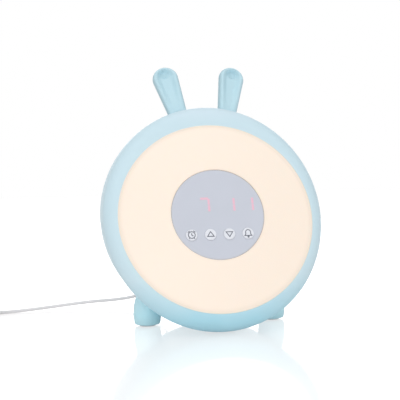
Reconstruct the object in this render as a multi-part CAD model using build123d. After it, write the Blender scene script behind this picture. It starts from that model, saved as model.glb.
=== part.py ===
from build123d import *
from math import cos, pi, radians, sin, sqrt, tan
import os

os.makedirs("parts", exist_ok=True)

# A child's wake-up light: a drum-shaped case with rabbit ears and stub feet. Its face leans back and carries
# a glowing diffuser ring round a display with four push keys. Millimetres and degrees. The origin is on the
# surface that the clock stands on, +Z is up, and the face looks towards -Y.

# ---------------------------------------------------------------- case
CASE_RADIUS = 86.0
FACE_LEAN = 20.0            # the face plane's lean back from upright
FACE_TO_BACK = 60.0         # along the drum's axis, from the face plane to the flat back
ORIGIN_TO_FACE = 23.5       # the face's centre lies this far in front of the origin
WALL = 2.5
RIM_ROUND = 11.5
BACK_ROUND = 16.0
BEZEL_DEPTH = 13.0          # behind the face plane, where the bezel meets the housing
PARTING_GAP = 0.25
TONGUE_REACH = 2.5          # the housing's tongue inside the bezel
TONGUE_ROOT = 3.0
TONGUE_WALL = 1.3
TONGUE_CLEARANCE = 0.15

# ---------------------------------------------------------------- clearances
SEAT_GAP = 0.05             # between pieces that rest on each other
FIT_GAP = 0.2               # round a piece that drops into a recess
KEY_GAP = 0.1               # round a moving key
THREAD_GAP = 0.03           # round a thread in its pilot hole
SKIN_GAP = 0.1              # between the case and what is seated on its skin

# ---------------------------------------------------- diffuser and tray, measured from the face plane
RIM_WIDTH = 11.7            # the case's rim, seen at the sides
DIFFUSER_WALL = 2.0
DIFFUSER_FLANGE = 1.4       # how far the flange reaches out under the bezel
FLANGE_THICKNESS = 1.6
DOME_EDGE = 0.2             # the dome's height at the rim
DOME_RISE = 5.0             # from the rim to the display
LEDGE_WIDTH = 1.5           # what the display panel rests on
LEDGE_THICKNESS = 2.0
HUB_RING = 2.0
SEAT_DEPTH = 4.3            # the bezel's seat for the flange
SEAT_WIDTH = 5.4
TRAY_WALL = 2.0
TRAY_FLOOR = 1.5
TRAY_DEPTH = 18.0
TRAY_FLOOR_RADIUS = 63.5
TRAY_LUG_RADIUS = 3.0
TRAY_LUG_REACH = 4.2        # the lugs' centres lie this far outside the bezel's opening
TRAY_LUGS = 6
TRAY_BOSS_RADIUS = 2.6
CABLE_HOLE_RADIUS = 5.0

# ---------------------------------------------------------------- display
PANEL_RADIUS = 35.8
PANEL_THICKNESS = 2.0
KEY_RADIUS = 4.4
KEY_PROUD = 0.7
KEY_TRAVEL = 0.7
KEY_EDGE = 0.4
KEY_PITCH = 14.4
KEY_ROW = -16.1             # up the face from its centre
KEY_FLANGE = 0.8
KEY_FLANGE_THICKNESS = 1.2
KEY_STEM_RADIUS = 1.6
KEY_NAMES = ("clock", "up", "down", "bell")
PLUNGER_RADIUS = 1.7
PLUNGER_PROUD = 1.3
PLUNGER_LENGTH = 2.6
SWITCH_SIDE = 6.0
SWITCH_HEIGHT = 3.5
BOARD_THICKNESS = 1.6
DISPLAY_BOARD_DEPTH = 5.5   # the board's front, behind the face plane
DISPLAY_BOARD_RADIUS = 35.9
DIGIT_WIDTH = 8.0
DIGIT_HEIGHT = 12.0
DIGIT_ROW = 7.3
DIGIT_OFFSETS = (-24.3, -9.7, 9.8, 24.4)
DIGITS = (" ", "7", "1", "1")
BAR_WIDTH = 1.5
BAR_GAP = 0.3
BAR_DEPTH = 0.8
COLON_RISE = 2.4
COLON_RADIUS = 0.8
MODULE_WIDTH = 58.0
MODULE_HEIGHT = 17.4
MODULE_DEPTH = 8.0
DISPLAY_POSTS = ((0.0, 27.0), (0.0, -29.0), (29.5, -8.0), (-29.5, -8.0))
POST_RADIUS = 3.0

# ---------------------------------------------------------------- light ring
LED_BOARD_INNER = 44.0
LED_BOARD_WIDTH = 17.0
LED_COUNT = 24
LED_SIDE = 3.5
LED_HEIGHT = 1.9
LED_BOARD_SCREWS = 3
LED_SCREW_INSET = 3.5       # from the board's inner edge
LED_LENS_RADIUS = 1.4
LED_LENS_FLOOR = 1.0

# ---------------------------------------------------- back of the case, measured from the drum's axis
CASE_POSTS = ((50.0, 30.0), (-50.0, 30.0), (52.0, -38.0), (-52.0, -38.0))
CASE_POST_RADIUS = 4.2
CASE_BOSS_LENGTH = 6.0
CASE_SCREW_SEAT = 6.0       # the head's seat, behind the post's front end
CASE_SCREW_BORE = 3.1
SPEAKER_RISE = 22.0
SPEAKER_RADIUS = 25.0
SPEAKER_RIM = 3.0
SPEAKER_BASKET = 9.0
MAGNET_RADIUS = 13.0
MAGNET_HEIGHT = 7.0
CONE_THICKNESS = 0.6
SPEAKER_BOSSES = 3
SPEAKER_BOSS_OFFSET = 3.2   # outside the speaker's rim
SPEAKER_BOSS_RADIUS = 2.6
SPEAKER_SCREW_HEAD = 3.8    # wide enough to clamp the rim
SPEAKER_FLANGE = 3.0
BASKET_SHEET = 1.2
MAGNET_LIP = 6.0
POLE_RISE = 2.5
CONE_NECK = 8.0
CONE_CAP = 5.0
GRILLE_RINGS = 4
GRILLE_PITCH = 4.6
GRILLE_HOLE = 1.1
MAIN_BOARD_WIDTH = 76.0
MAIN_BOARD_HEIGHT = 53.0
MAIN_BOARD_DROP = 37.5      # its centre below the drum's axis
MAIN_BOARD_DEPTH = 15.4     # its back in front of the flat back
MAIN_BOARD_HOLE_INSET = 5.0
CHIP_SIDE = 10.0
CHIP_HEIGHT = 1.4
CAPACITOR_RADIUS = 3.2
CAPACITOR_HEIGHT = 8.0
CONNECTOR = (8.0, 4.0, 5.5)  # width, depth from the board, height
CONNECTOR_PITCH = 14.0
CONNECTOR_RISE = 8.0        # above the board's middle
PARTS_DROP = 8.0            # the chip and capacitors, below the board's middle
CHIP_INSET = 32.0           # from the board's edge
CAPACITOR_INSET = 18.0
SOCKET_X = -20.0
SOCKET_DROP = 58.0
SOCKET_WIDTH = 9.0
SOCKET_HEIGHT = 11.0
SOCKET_BORE = 3.0
SOCKET_BORE_DEPTH = 10.5
SOCKET_PIN = 1.0

# ---------------------------------------------------------------- backup battery
BATTERY_X = 26.0
BATTERY_DROP = 38.0
DOOR_RADIUS = 15.3
DOOR_THICKNESS = 2.0
DOOR_RING = 1.8
CELL_RADIUS = 10.0
CELL_THICKNESS = 3.2
CONTACT_THICKNESS = 0.4
CONTACT_DOME = 0.4
CUP_WALL = 1.8
CUP_FLOOR = 1.5
DOOR_SCREW_INSET = 2.5

# ---------------------------------------------------------------- ears and feet
EAR_ANGLE = 14.0            # round the drum from its top
EAR_TO_FACE = 51.0          # along the drum's axis, behind the face's centre
EAR_LEAN = 25.0
EAR_LENGTH = 42.8
EAR_ROOT_WIDTH = 13.2
EAR_WIDTH = 20.6
EAR_THICKNESS = 9.5
EAR_ROUND = 4.2
EAR_SCOOP_DEPTH = 3.4
EAR_SCOOP_RIM = 2.7
EAR_SCOOP_TOP_RIM = 3.8
EAR_SCOOP_START = 4.0
FOOT_X = 51.0
FOOT_TO_FACE = 36.0
FOOT_RADIUS = 11.0          # at its belly
FOOT_BELLY = 10.0           # the belly's height above the surface
FOOT_SIDE_RADIUS = 40.0     # of the arc that its sides follow
FOOT_CORNER = 1.6
PEG_RADIUS = 3.6
PEG_LENGTH = 7.2
PEG_SOCKET_WALL = 2.3
PEG_SOCKET_FLOOR = 2.6
PAD_PROUD = 1.2
PAD_SUNK = 1.0
FOOT_PAD_RADIUS = 6.5
BASE_PAD_WIDTH = 20.0
BASE_PAD_LENGTH = 40.0
BASE_PAD_TO_FACE = 12.0     # its middle behind the face's centre

# ---------------------------------------------------- screws: thread radius, head radius, head height
SMALL_SCREW = (1.0, 2.0, 1.1)
CASE_SCREW = (1.25, 2.7, 1.9)
RECESS_SHARE = 0.55         # of the head's height and radius that the cross recess takes
SMALL_SCREW_LENGTH = 5.0
CASE_SCREW_LENGTH = 11.0
PEG_SCREW_LENGTH = 13.0

# ---------------------------------------------------------------- supply cord
CORD_RADIUS = 1.5
PLUG_RADIUS = 5.0
PLUG_LENGTH = 18.0          # behind the flat back
BARREL_RADIUS = 2.75
BARREL_BORE = 1.1
BARREL_LENGTH = 9.5
BARREL_HOLD = 2.0           # how far the plug's body grips the barrel
PLUG_TAPER = 3.0
GRIP_GROOVES = 4
GRIP_START = 5.0
GRIP_PITCH = 2.2
GRIP_WIDTH = 0.9
GRIP_DEPTH = 0.5
RELIEF_LENGTH = 18.0
RELIEF_RADIUS = 3.4
RELIEF_END_RADIUS = 2.2
COIL_CENTRE = (-193.0, 84.5)
COIL_INNER = 12.5
COIL_COLUMNS = 3
COIL_ROWS = 4
USB_BODY = (15.5, 26.0, 8.0)
USB_SHELL = (12.0, 12.0, 4.5)
USB_SHELL_WALL = 0.35
USB_SHELL_HOLD = 5.0        # inside the plug's body
USB_EDGE = 1.8
USB_LATCH = (1.6, 2.4)
USB_LATCH_X = 2.6
TIE_THICKNESS = 0.6
TIE_WIDTH = 4.0

# ---------------------------------------------------------------- worked out from the sizes above
AXIS_HEIGHT = CASE_RADIUS + PAD_PROUD
LEAN = radians(FACE_LEAN)
OPENING_RADIUS = CASE_RADIUS - RIM_WIDTH
DIFFUSER_RADIUS = OPENING_RADIUS - FIT_GAP
FLANGE_RADIUS = OPENING_RADIUS + DIFFUSER_FLANGE
HUB_RADIUS = PANEL_RADIUS + FIT_GAP
DOME_TOP = DOME_EDGE + DOME_RISE
PANEL_TOP = DOME_TOP - FIT_GAP
LEDGE_TOP = PANEL_TOP - PANEL_THICKNESS - SEAT_GAP
LEDGE_BOTTOM = LEDGE_TOP - LEDGE_THICKNESS
LEDGE_RADIUS = HUB_RADIUS - LEDGE_WIDTH
FLANGE_BOTTOM = -SEAT_DEPTH - SEAT_GAP - FLANGE_THICKNESS
TRAY_FLANGE_TOP = FLANGE_BOTTOM - TRAY_WALL
TRAY_FLANGE_BOTTOM = TRAY_FLANGE_TOP - TRAY_WALL
TRAY_FLOOR_TOP = TRAY_FLOOR - TRAY_DEPTH
TRAY_LUG_CENTRE = OPENING_RADIUS + TRAY_LUG_REACH
BOARD_BACK = -DISPLAY_BOARD_DEPTH - BOARD_THICKNESS
KEY_OFFSETS = [(i - (len(KEY_NAMES) - 1) / 2) * KEY_PITCH for i in range(len(KEY_NAMES))]
SWITCH_TOP = SWITCH_HEIGHT - DISPLAY_BOARD_DEPTH
PLUNGER_TOP = SWITCH_TOP + PLUNGER_PROUD
BACK_Y = FACE_TO_BACK - ORIGIN_TO_FACE
MAIN_BOARD_BACK = -MAIN_BOARD_DEPTH
MAIN_BOARD_FRONT = MAIN_BOARD_BACK - BOARD_THICKNESS
DOOR_RECESS = DOOR_THICKNESS + SEAT_GAP
CUP_RADIUS = DOOR_RADIUS + CUP_WALL
CELL_BORE = CELL_RADIUS + 2 * FIT_GAP
DOOR_RING_DEPTH = DOOR_THICKNESS + DOOR_RING
CELL_TOP = -DOOR_RING_DEPTH - SEAT_GAP
CELL_BOTTOM = CELL_TOP - CELL_THICKNESS
CUP_BOTTOM = CELL_BOTTOM - CONTACT_DOME - CONTACT_THICKNESS - SEAT_GAP
DOOR_SCREW_OFFSET = DOOR_RADIUS - DOOR_SCREW_INSET
FAR = 6 * CASE_RADIUS
LED_SCREW_RADIUS = LED_BOARD_INNER + LED_SCREW_INSET
LED_MIDDLE = LED_BOARD_INNER + LED_BOARD_WIDTH / 2
SPEAKER_BOSS_CENTRE = SPEAKER_RADIUS + SPEAKER_BOSS_OFFSET
SMALL_PILOT = SMALL_SCREW[0] + THREAD_GAP
SMALL_BORE = SMALL_SCREW[0] + FIT_GAP
CASE_PILOT = CASE_SCREW[0] + THREAD_GAP
CASE_BORE = CASE_SCREW[0] + FIT_GAP

face_normal = (0, -cos(LEAN), sin(LEAN))
face_frame = Plane(origin=(0, -ORIGIN_TO_FACE, AXIS_HEIGHT), x_dir=(1, 0, 0), z_dir=face_normal)
back_frame = Plane(origin=(0, BACK_Y, AXIS_HEIGHT), x_dir=(-1, 0, 0), z_dir=(0, 1, 0))

# ---------------------------------------------------------------- helpers


def on_face(shape):
    """A shape drawn with x to the right, y up the face and z out of it."""
    return face_frame.location * shape


def on_back(shape):
    """A shape drawn with x towards -X, y up and z out of the flat back."""
    return back_frame.location * shape


def rod(radius, low, high, x=0.0, y=0.0):
    return Pos(x, y, (low + high) / 2) * Cylinder(radius, high - low)


def tube(outer, inner, low, high, x=0.0, y=0.0):
    return rod(outer, low, high, x, y) - rod(inner, low, high, x, y)


def block(width, height, low, high, x=0.0, y=0.0):
    return Pos(x, y, (low + high) / 2) * Box(width, height, high - low)


def turned(points):
    """A solid of revolution about z from (radius, height) points."""
    return revolve(Plane.XZ * make_face(Polyline(*points, close=True)), Axis.Z)


def round_places(count, radius, start=0.0):
    """Places spread evenly round a circle."""
    steps = [radians(start + 360.0 * i / count) for i in range(count)]
    return [(radius * cos(a), radius * sin(a)) for a in steps]


def face_slab(low, high):
    """All that lies between two heights above the face plane."""
    return on_face(block(FAR, FAR, low, high))


def case_solid(inset):
    """The case's outer form, pulled in by inset all over."""
    length = FACE_TO_BACK - inset + CASE_RADIUS
    middle = BACK_Y - inset - length / 2
    drum = Pos(0, middle, AXIS_HEIGHT) * Rot(90, 0, 0) * Cylinder(CASE_RADIUS - inset, length)
    body = drum - face_slab(-inset, FAR)
    front_edge = body.faces().filter_by(GeomType.PLANE).sort_by(Axis.Y)[0].edges()
    body = fillet(front_edge, RIM_ROUND - inset)
    back_edge = body.faces().filter_by(GeomType.PLANE).sort_by(Axis.Y)[-1].edges()
    return fillet(back_edge, BACK_ROUND - inset)


def screw(size, length):
    """A cross-headed screw: its head stands on z = 0 and its thread runs down."""
    thread, head_radius, head_height = size
    head = rod(head_radius, 0, head_height)
    head = fillet(head.faces().sort_by(Axis.Z)[-1].edges(), head_height * 0.4)
    reach = 2 * head_radius * RECESS_SHARE
    for turn in (0, 90):
        head -= Rot(0, 0, turn) * block(reach, reach / 4, head_height * (1 - RECESS_SHARE), head_height)
    return head + rod(thread, -length, 0)


def screws(size, length, places):
    """The same screw at each place."""
    return Compound([place * screw(size, length) for place in places])


def swept(points, radius, share=0.45):
    """A round cable along straight runs joined by tangent arcs, with the arcs' radii."""
    spots = [Vector(*p) for p in points]
    runs = [spots[i + 1] - spots[i] for i in range(len(spots) - 1)]
    radii = []
    for before, after in zip(runs, runs[1:]):
        half = radians(before.get_angle(after)) / 2
        radii.append(share * min(before.length, after.length) / tan(half))
    path = FilletPolyline(*spots, radius=radii) if len(radii) > 1 else Polyline(*spots)
    section = Plane(origin=spots[0], z_dir=runs[0]) * Circle(radius)
    return sweep(section, path=path), path, radii


def write(name, shape):
    """One file for each node."""
    export_step(shape, f"parts/{name}.step")


# ---------------------------------------------------------------- ears and feet: how they are held


def ear_place(side):
    """The ear's root on the drum's skin: x across the ear, -y its front, z along it."""
    angle = radians(EAR_ANGLE)
    height = AXIS_HEIGHT + CASE_RADIUS * cos(angle)
    root = Pos(side * CASE_RADIUS * sin(angle), EAR_TO_FACE - ORIGIN_TO_FACE, height)
    return root * Rot(0, side * EAR_ANGLE, 0) * Rot(-EAR_LEAN, 0, 0)


def foot_place(side):
    """The foot's root on the drum's skin, with z pointing down."""
    drop = sqrt(CASE_RADIUS**2 - FOOT_X**2)
    return Pos(side * FOOT_X, FOOT_TO_FACE - ORIGIN_TO_FACE, AXIS_HEIGHT - drop) * Rot(180, 0, 0)


LIMB_PLACES = [ear_place(-1), ear_place(1), foot_place(-1), foot_place(1)]
SOCKET_END = -PEG_LENGTH - FIT_GAP - PEG_SOCKET_FLOOR


def add_peg(limb, reach):
    """Gives a limb, drawn about its root, the peg that its socket takes, with a pilot hole."""
    limb += rod(PEG_RADIUS, -PEG_LENGTH, reach)
    pilot_end = SOCKET_END + PEG_SCREW_LENGTH
    return limb - rod(CASE_SCREW[0] + THREAD_GAP, -PEG_LENGTH, pilot_end + FIT_GAP)


def ear(side):
    half_root = EAR_ROOT_WIDTH / 2
    half = EAR_WIDTH / 2
    sunk = WALL + half_root
    shoulder = EAR_LENGTH - half
    edges = [
        Line((-half_root, -sunk), (-half, shoulder)),
        ThreePointArc((-half, shoulder), (0, EAR_LENGTH), (half, shoulder)),
        Line((half, shoulder), (half_root, -sunk)),
        Line((half_root, -sunk), (-half_root, -sunk)),
    ]
    blade = extrude(Plane.XZ * make_face(edges), EAR_THICKNESS / 2, both=True)
    blade = fillet(blade.faces().filter_by(Axis.Y).edges(), EAR_ROUND)
    inner = half - EAR_SCOOP_RIM
    inner_root = half_root - EAR_SCOOP_RIM
    top = EAR_LENGTH - EAR_SCOOP_TOP_RIM
    scoop_edges = [
        Line((-inner_root, EAR_SCOOP_START), (-inner, top - inner)),
        ThreePointArc((-inner, top - inner), (0, top), (inner, top - inner)),
        Line((inner, top - inner), (inner_root, EAR_SCOOP_START)),
        Line((inner_root, EAR_SCOOP_START), (-inner_root, EAR_SCOOP_START)),
    ]
    scoop = extrude(Plane.XZ * make_face(scoop_edges), 2 * EAR_SCOOP_DEPTH, both=True)
    scoop = fillet(scoop.faces().sort_by(Axis.Y)[-1].edges(), EAR_SCOOP_DEPTH * 0.7)
    blade -= Pos(0, -EAR_THICKNESS / 2 - EAR_SCOOP_DEPTH, 0) * scoop
    outside = ear_place(side) * blade - case_solid(-SKIN_GAP)
    root = ear_place(side).inverse()
    return ear_place(side) * add_peg(root * outside.solids().sort_by(Axis.Z)[-1], EAR_SCOOP_START)


def foot_side(height, belly):
    """The foot's radius at a height: its side is an arc that is widest at the belly."""
    return FOOT_RADIUS - FOOT_SIDE_RADIUS + sqrt(FOOT_SIDE_RADIUS**2 - (height - belly) ** 2)


def foot(side):
    place = foot_place(side)
    sole = AXIS_HEIGHT - sqrt(CASE_RADIUS**2 - FOOT_X**2)
    belly = sole - FOOT_BELLY
    drop = sole - PAD_PROUD
    top = -FOOT_RADIUS
    edges = [
        Line((0, top), (foot_side(top, belly), top)),
        ThreePointArc((foot_side(top, belly), top), (FOOT_RADIUS, belly), (foot_side(drop, belly), drop)),
        Line((foot_side(drop, belly), drop), (0, drop)),
        Line((0, drop), (0, top)),
    ]
    body = revolve(Plane.XZ * make_face(edges), Axis.Z)
    body = fillet(body.faces().sort_by(Axis.Z)[-1].edges(), FOOT_CORNER)
    body -= rod(FOOT_PAD_RADIUS + SEAT_GAP, drop - PAD_SUNK, drop)
    outside = place * body - case_solid(-SKIN_GAP)
    return place * add_peg(place.inverse() * outside.solids().sort_by(Axis.Z)[0], PEG_LENGTH)


def foot_pads():
    drop = AXIS_HEIGHT - sqrt(CASE_RADIUS**2 - FOOT_X**2) - PAD_PROUD
    pad = rod(FOOT_PAD_RADIUS, drop - PAD_SUNK + SEAT_GAP, drop + PAD_PROUD)
    pad = chamfer(pad.faces().sort_by(Axis.Z)[-1].edges(), PAD_PROUD / 3)
    return Compound([foot_place(side) * pad for side in (-1, 1)])


def base_pad_block(grow, low, high):
    place = Pos(0, BASE_PAD_TO_FACE - ORIGIN_TO_FACE, (low + high) / 2)
    return place * Box(BASE_PAD_WIDTH + 2 * grow, BASE_PAD_LENGTH + 2 * grow, high - low)


def base_pad():
    pad = base_pad_block(0, 0, PAD_PROUD + PAD_SUNK - SEAT_GAP)
    pad = fillet(pad.edges().filter_by(Axis.Z), BASE_PAD_WIDTH / 4)
    return chamfer(pad.faces().sort_by(Axis.Z)[0].edges(), PAD_PROUD / 3)


def limb_screws():
    places = [place * Pos(0, 0, SOCKET_END - SEAT_GAP) * Rot(180, 0, 0) for place in LIMB_PLACES]
    return screws(CASE_SCREW, PEG_SCREW_LENGTH, places[:2]), screws(CASE_SCREW, PEG_SCREW_LENGTH, places[2:])


# ---------------------------------------------------------------- case


def front_bezel():
    hollow = case_solid(WALL) - on_face(rod(OPENING_RADIUS + SEAT_WIDTH, -SEAT_DEPTH, 0))
    lugs = round_places(TRAY_LUGS, TRAY_LUG_CENTRE, 180.0 / TRAY_LUGS)
    for x, y in lugs:
        hollow -= on_face(rod(TRAY_BOSS_RADIUS, TRAY_FLANGE_TOP + SEAT_GAP, 0, x, y))
    shell = (case_solid(0) - hollow) & face_slab(-BEZEL_DEPTH, FAR)
    for x, y in lugs:
        shell -= on_face(rod(SMALL_PILOT, TRAY_FLANGE_TOP, -(SEAT_DEPTH + WALL) / 2, x, y))
    shell -= on_face(rod(OPENING_RADIUS, -2 * SEAT_DEPTH, FAR))
    return shell - base_pad_block(SEAT_GAP, -PAD_PROUD, PAD_PROUD + PAD_SUNK)


def along_axis(radius, front, back, x, z):
    """A rod along the drum's axis between two places on Y, placed from that axis."""
    return Pos(x, (front + back) / 2, AXIS_HEIGHT + z) * Rot(90, 0, 0) * Cylinder(radius, back - front)


def tray_back_y(z):
    """Where a line along the drum's axis at height z meets the tray's back."""
    return (z * sin(LEAN) + TRAY_DEPTH) / cos(LEAN) - ORIGIN_TO_FACE


def boss_end_y(z):
    return tray_back_y(z) + CASE_BOSS_LENGTH


def speaker_places(radius):
    return [(x, y + SPEAKER_RISE) for x, y in round_places(SPEAKER_BOSSES, radius, 90.0)]


def main_board_places():
    across = MAIN_BOARD_WIDTH / 2 - MAIN_BOARD_HOLE_INSET
    up = MAIN_BOARD_HEIGHT / 2 - MAIN_BOARD_HOLE_INSET
    return [(i * across, j * up - MAIN_BOARD_DROP) for i in (-1, 1) for j in (-1, 1)]


def housing_fittings():
    """What stands on the housing's walls inside: posts, the speaker's ring, battery cup and limb sockets."""
    fittings = []
    for x, z in CASE_POSTS:
        fittings.append(along_axis(CASE_POST_RADIUS, boss_end_y(z) + SEAT_GAP, BACK_Y, x, z))
    for x, y in main_board_places():
        fittings.append(on_back(rod(POST_RADIUS, MAIN_BOARD_BACK + SEAT_GAP, 0, x, y)))
    ring_low = -WALL - SPEAKER_RIM
    inside = SPEAKER_RADIUS + FIT_GAP
    fittings.append(on_back(tube(SPEAKER_RADIUS + WALL, inside, ring_low, 0, 0, SPEAKER_RISE)))
    for x, y in speaker_places(SPEAKER_BOSS_CENTRE):
        boss = rod(SPEAKER_BOSS_RADIUS, ring_low, 0, x, y)
        fittings.append(on_back(boss - rod(inside, ring_low, 0, 0, SPEAKER_RISE)))
    fittings.append(on_back(rod(CUP_RADIUS, CUP_BOTTOM - CUP_FLOOR, 0, -BATTERY_X, -BATTERY_DROP)))
    for place in LIMB_PLACES:
        fittings.append(place * rod(PEG_RADIUS + FIT_GAP + PEG_SOCKET_WALL, SOCKET_END, 4 * PEG_RADIUS))
    return fittings


def tongue():
    """The lip that slides into the bezel, and its root along the housing's wall."""
    root = case_solid(WALL - TONGUE_CLEARANCE) - case_solid(WALL + TONGUE_WALL)
    root &= face_slab(-BEZEL_DEPTH - TONGUE_ROOT, -BEZEL_DEPTH - PARTING_GAP)
    lip = case_solid(WALL + TONGUE_CLEARANCE) - case_solid(WALL + TONGUE_CLEARANCE + TONGUE_WALL)
    lip &= face_slab(-BEZEL_DEPTH - TONGUE_ROOT / 2, TONGUE_REACH - BEZEL_DEPTH)
    return root + lip


def rear_housing():
    hollow = case_solid(WALL)
    for fitting in housing_fittings():
        hollow -= fitting
    shell = (case_solid(0) - hollow) & face_slab(-FAR, -BEZEL_DEPTH - PARTING_GAP)
    shell += tongue()
    for cut in housing_cuts():
        shell -= cut
    return shell


def grille_holes():
    holes = [rod(GRILLE_HOLE, -2 * WALL, WALL, 0, SPEAKER_RISE)]
    for ring in range(1, GRILLE_RINGS + 1):
        for x, y in round_places(6 * ring, ring * GRILLE_PITCH):
            holes.append(rod(GRILLE_HOLE, -2 * WALL, WALL, x, y + SPEAKER_RISE))
    return on_back(Compound(holes))


def housing_cuts():
    """What is taken out of the housing: bores, recesses, the grille and the pad's recess."""
    cuts = [grille_holes(), base_pad_block(SEAT_GAP, -PAD_PROUD, PAD_PROUD + PAD_SUNK)]
    for x, z in CASE_POSTS:
        seat = boss_end_y(z) + CASE_SCREW_SEAT
        cuts.append(along_axis(CASE_SCREW_BORE, seat, BACK_Y + WALL, x, z))
        cuts.append(along_axis(CASE_BORE, boss_end_y(z) - SEAT_GAP, seat, x, z))
    for x, y in main_board_places():
        cuts.append(on_back(rod(SMALL_PILOT, MAIN_BOARD_BACK, MAIN_BOARD_BACK + SMALL_SCREW_LENGTH, x, y)))
    for x, y in speaker_places(SPEAKER_BOSS_CENTRE):
        cuts.append(on_back(rod(SMALL_PILOT, -WALL - SPEAKER_RIM, -WALL, x, y)))
    cuts.append(on_back(rod(PLUG_RADIUS + FIT_GAP, -2 * WALL, WALL, -SOCKET_X, -SOCKET_DROP)))
    x, y = -BATTERY_X, -BATTERY_DROP
    cuts.append(on_back(rod(DOOR_RADIUS + FIT_GAP, -DOOR_RECESS, WALL, x, y)))
    cuts.append(on_back(rod(CELL_BORE, CUP_BOTTOM, -DOOR_RECESS, x, y)))
    cuts.append(on_back(rod(SMALL_PILOT, -DOOR_RECESS - SMALL_SCREW_LENGTH, 0, x, y + DOOR_SCREW_OFFSET)))
    for place in LIMB_PLACES:
        bore = rod(PEG_RADIUS + FIT_GAP, -PEG_LENGTH - FIT_GAP, 4 * PEG_RADIUS)
        cuts.append(place * (bore + rod(CASE_BORE, SOCKET_END - FIT_GAP, -PEG_LENGTH)))
    return cuts


# ---------------------------------------------------------------- light


def dome_height(radius, drop=0.0):
    """The dome is part of a sphere centred on the face's axis."""
    span = DIFFUSER_RADIUS**2 - HUB_RADIUS**2
    centre = (DOME_EDGE + DOME_TOP) / 2 - span / (2 * DOME_RISE)
    sphere = sqrt(DIFFUSER_RADIUS**2 + (DOME_EDGE - centre) ** 2) - drop
    return centre + sqrt(sphere**2 - radius**2)


def dome_arc(outer, inner, drop=0.0):
    middle = (outer + inner) / 2
    ends = [(radius, dome_height(radius, drop)) for radius in (outer, middle, inner)]
    return ThreePointArc(*ends)


def diffuser_ring():
    inner_edge = DIFFUSER_RADIUS - DIFFUSER_WALL
    hub_outer = HUB_RADIUS + HUB_RING
    low = dome_height(inner_edge, DIFFUSER_WALL)
    under = dome_height(hub_outer, DIFFUSER_WALL)
    edges = [
        dome_arc(DIFFUSER_RADIUS, HUB_RADIUS),
        Polyline(
            (HUB_RADIUS, dome_height(HUB_RADIUS)),
            (HUB_RADIUS, LEDGE_TOP),
            (LEDGE_RADIUS, LEDGE_TOP),
            (LEDGE_RADIUS, LEDGE_BOTTOM),
            (hub_outer, LEDGE_BOTTOM),
            (hub_outer, under),
        ),
        dome_arc(inner_edge, hub_outer, DIFFUSER_WALL),
        Polyline(
            (inner_edge, low),
            (inner_edge, FLANGE_BOTTOM),
            (FLANGE_RADIUS - FIT_GAP, FLANGE_BOTTOM),
            (FLANGE_RADIUS - FIT_GAP, FLANGE_BOTTOM + FLANGE_THICKNESS),
            (DIFFUSER_RADIUS, FLANGE_BOTTOM + FLANGE_THICKNESS),
            (DIFFUSER_RADIUS, dome_height(DIFFUSER_RADIUS)),
        ),
    ]
    return on_face(revolve(Plane.XZ * make_face(edges), Axis.Z))


def reflector_tray():
    hub_outer = HUB_RADIUS + HUB_RING
    hub_inner = DISPLAY_BOARD_RADIUS + FIT_GAP
    hub_top = LEDGE_BOTTOM - SEAT_GAP
    rim = FLANGE_RADIUS - FIT_GAP
    rest = FLANGE_BOTTOM - SEAT_GAP
    tray = turned(
        [
            (rim, TRAY_FLANGE_BOTTOM),
            (rim, rest),
            (rim - TRAY_WALL, rest),
            (TRAY_FLOOR_RADIUS, TRAY_FLOOR_TOP),
            (hub_outer, TRAY_FLOOR_TOP),
            (hub_outer, hub_top),
            (hub_inner, hub_top),
            (hub_inner, TRAY_FLOOR_TOP),
            (0, TRAY_FLOOR_TOP),
            (0, -TRAY_DEPTH),
            (TRAY_FLOOR_RADIUS + TRAY_FLOOR, -TRAY_DEPTH),
            (rim - TRAY_WALL, TRAY_FLANGE_BOTTOM),
        ]
    )
    for i, (x, y) in enumerate(round_places(TRAY_LUGS, TRAY_LUG_CENTRE, 180.0 / TRAY_LUGS)):
        turn = Rot(0, 0, (i + 0.5) * 360.0 / TRAY_LUGS)
        reach = TRAY_LUG_CENTRE - rim + TRAY_WALL
        bridge = block(reach, 2 * TRAY_LUG_RADIUS, TRAY_FLANGE_BOTTOM, TRAY_FLANGE_TOP)
        tray += turn * Pos((TRAY_LUG_CENTRE + rim - TRAY_WALL) / 2, 0, 0) * bridge
        tray += rod(TRAY_LUG_RADIUS, TRAY_FLANGE_BOTTOM, TRAY_FLANGE_TOP, x, y)
        tray -= rod(SMALL_BORE, TRAY_FLANGE_BOTTOM, TRAY_FLANGE_TOP, x, y)
    for x, y in DISPLAY_POSTS:
        tray += rod(POST_RADIUS, TRAY_FLOOR_TOP - TRAY_FLOOR / 2, BOARD_BACK - SEAT_GAP, x, y)
        tray -= rod(SMALL_PILOT, BOARD_BACK - SMALL_SCREW_LENGTH, BOARD_BACK, x, y)
    tray -= rod(CABLE_HOLE_RADIUS, -2 * TRAY_DEPTH, TRAY_FLOOR_TOP)
    for x, y in round_places(LED_BOARD_SCREWS, LED_SCREW_RADIUS, 90.0):
        tray += rod(POST_RADIUS, -TRAY_DEPTH - SMALL_SCREW_LENGTH, -TRAY_DEPTH, x, y)
        tray -= rod(SMALL_PILOT, TRAY_FLOOR_TOP - SMALL_SCREW_LENGTH, TRAY_FLOOR_TOP, x, y)
    tray -= rod(CABLE_HOLE_RADIUS / 2, -2 * TRAY_DEPTH, TRAY_FLOOR_TOP, -LED_MIDDLE, 0)
    tray = on_face(tray)
    behind = face_slab(-FAR, -TRAY_DEPTH + TRAY_FLOOR / 2)
    for x, z in CASE_POSTS:
        end = boss_end_y(z)
        tray += along_axis(CASE_POST_RADIUS, end - TRAY_DEPTH, end, x, z) & behind
    for x, z in CASE_POSTS:
        pilot_length = CASE_SCREW_LENGTH - CASE_SCREW_SEAT + FIT_GAP
        tray -= along_axis(CASE_PILOT, boss_end_y(z) - pilot_length, boss_end_y(z), x, z)
    return tray


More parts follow.
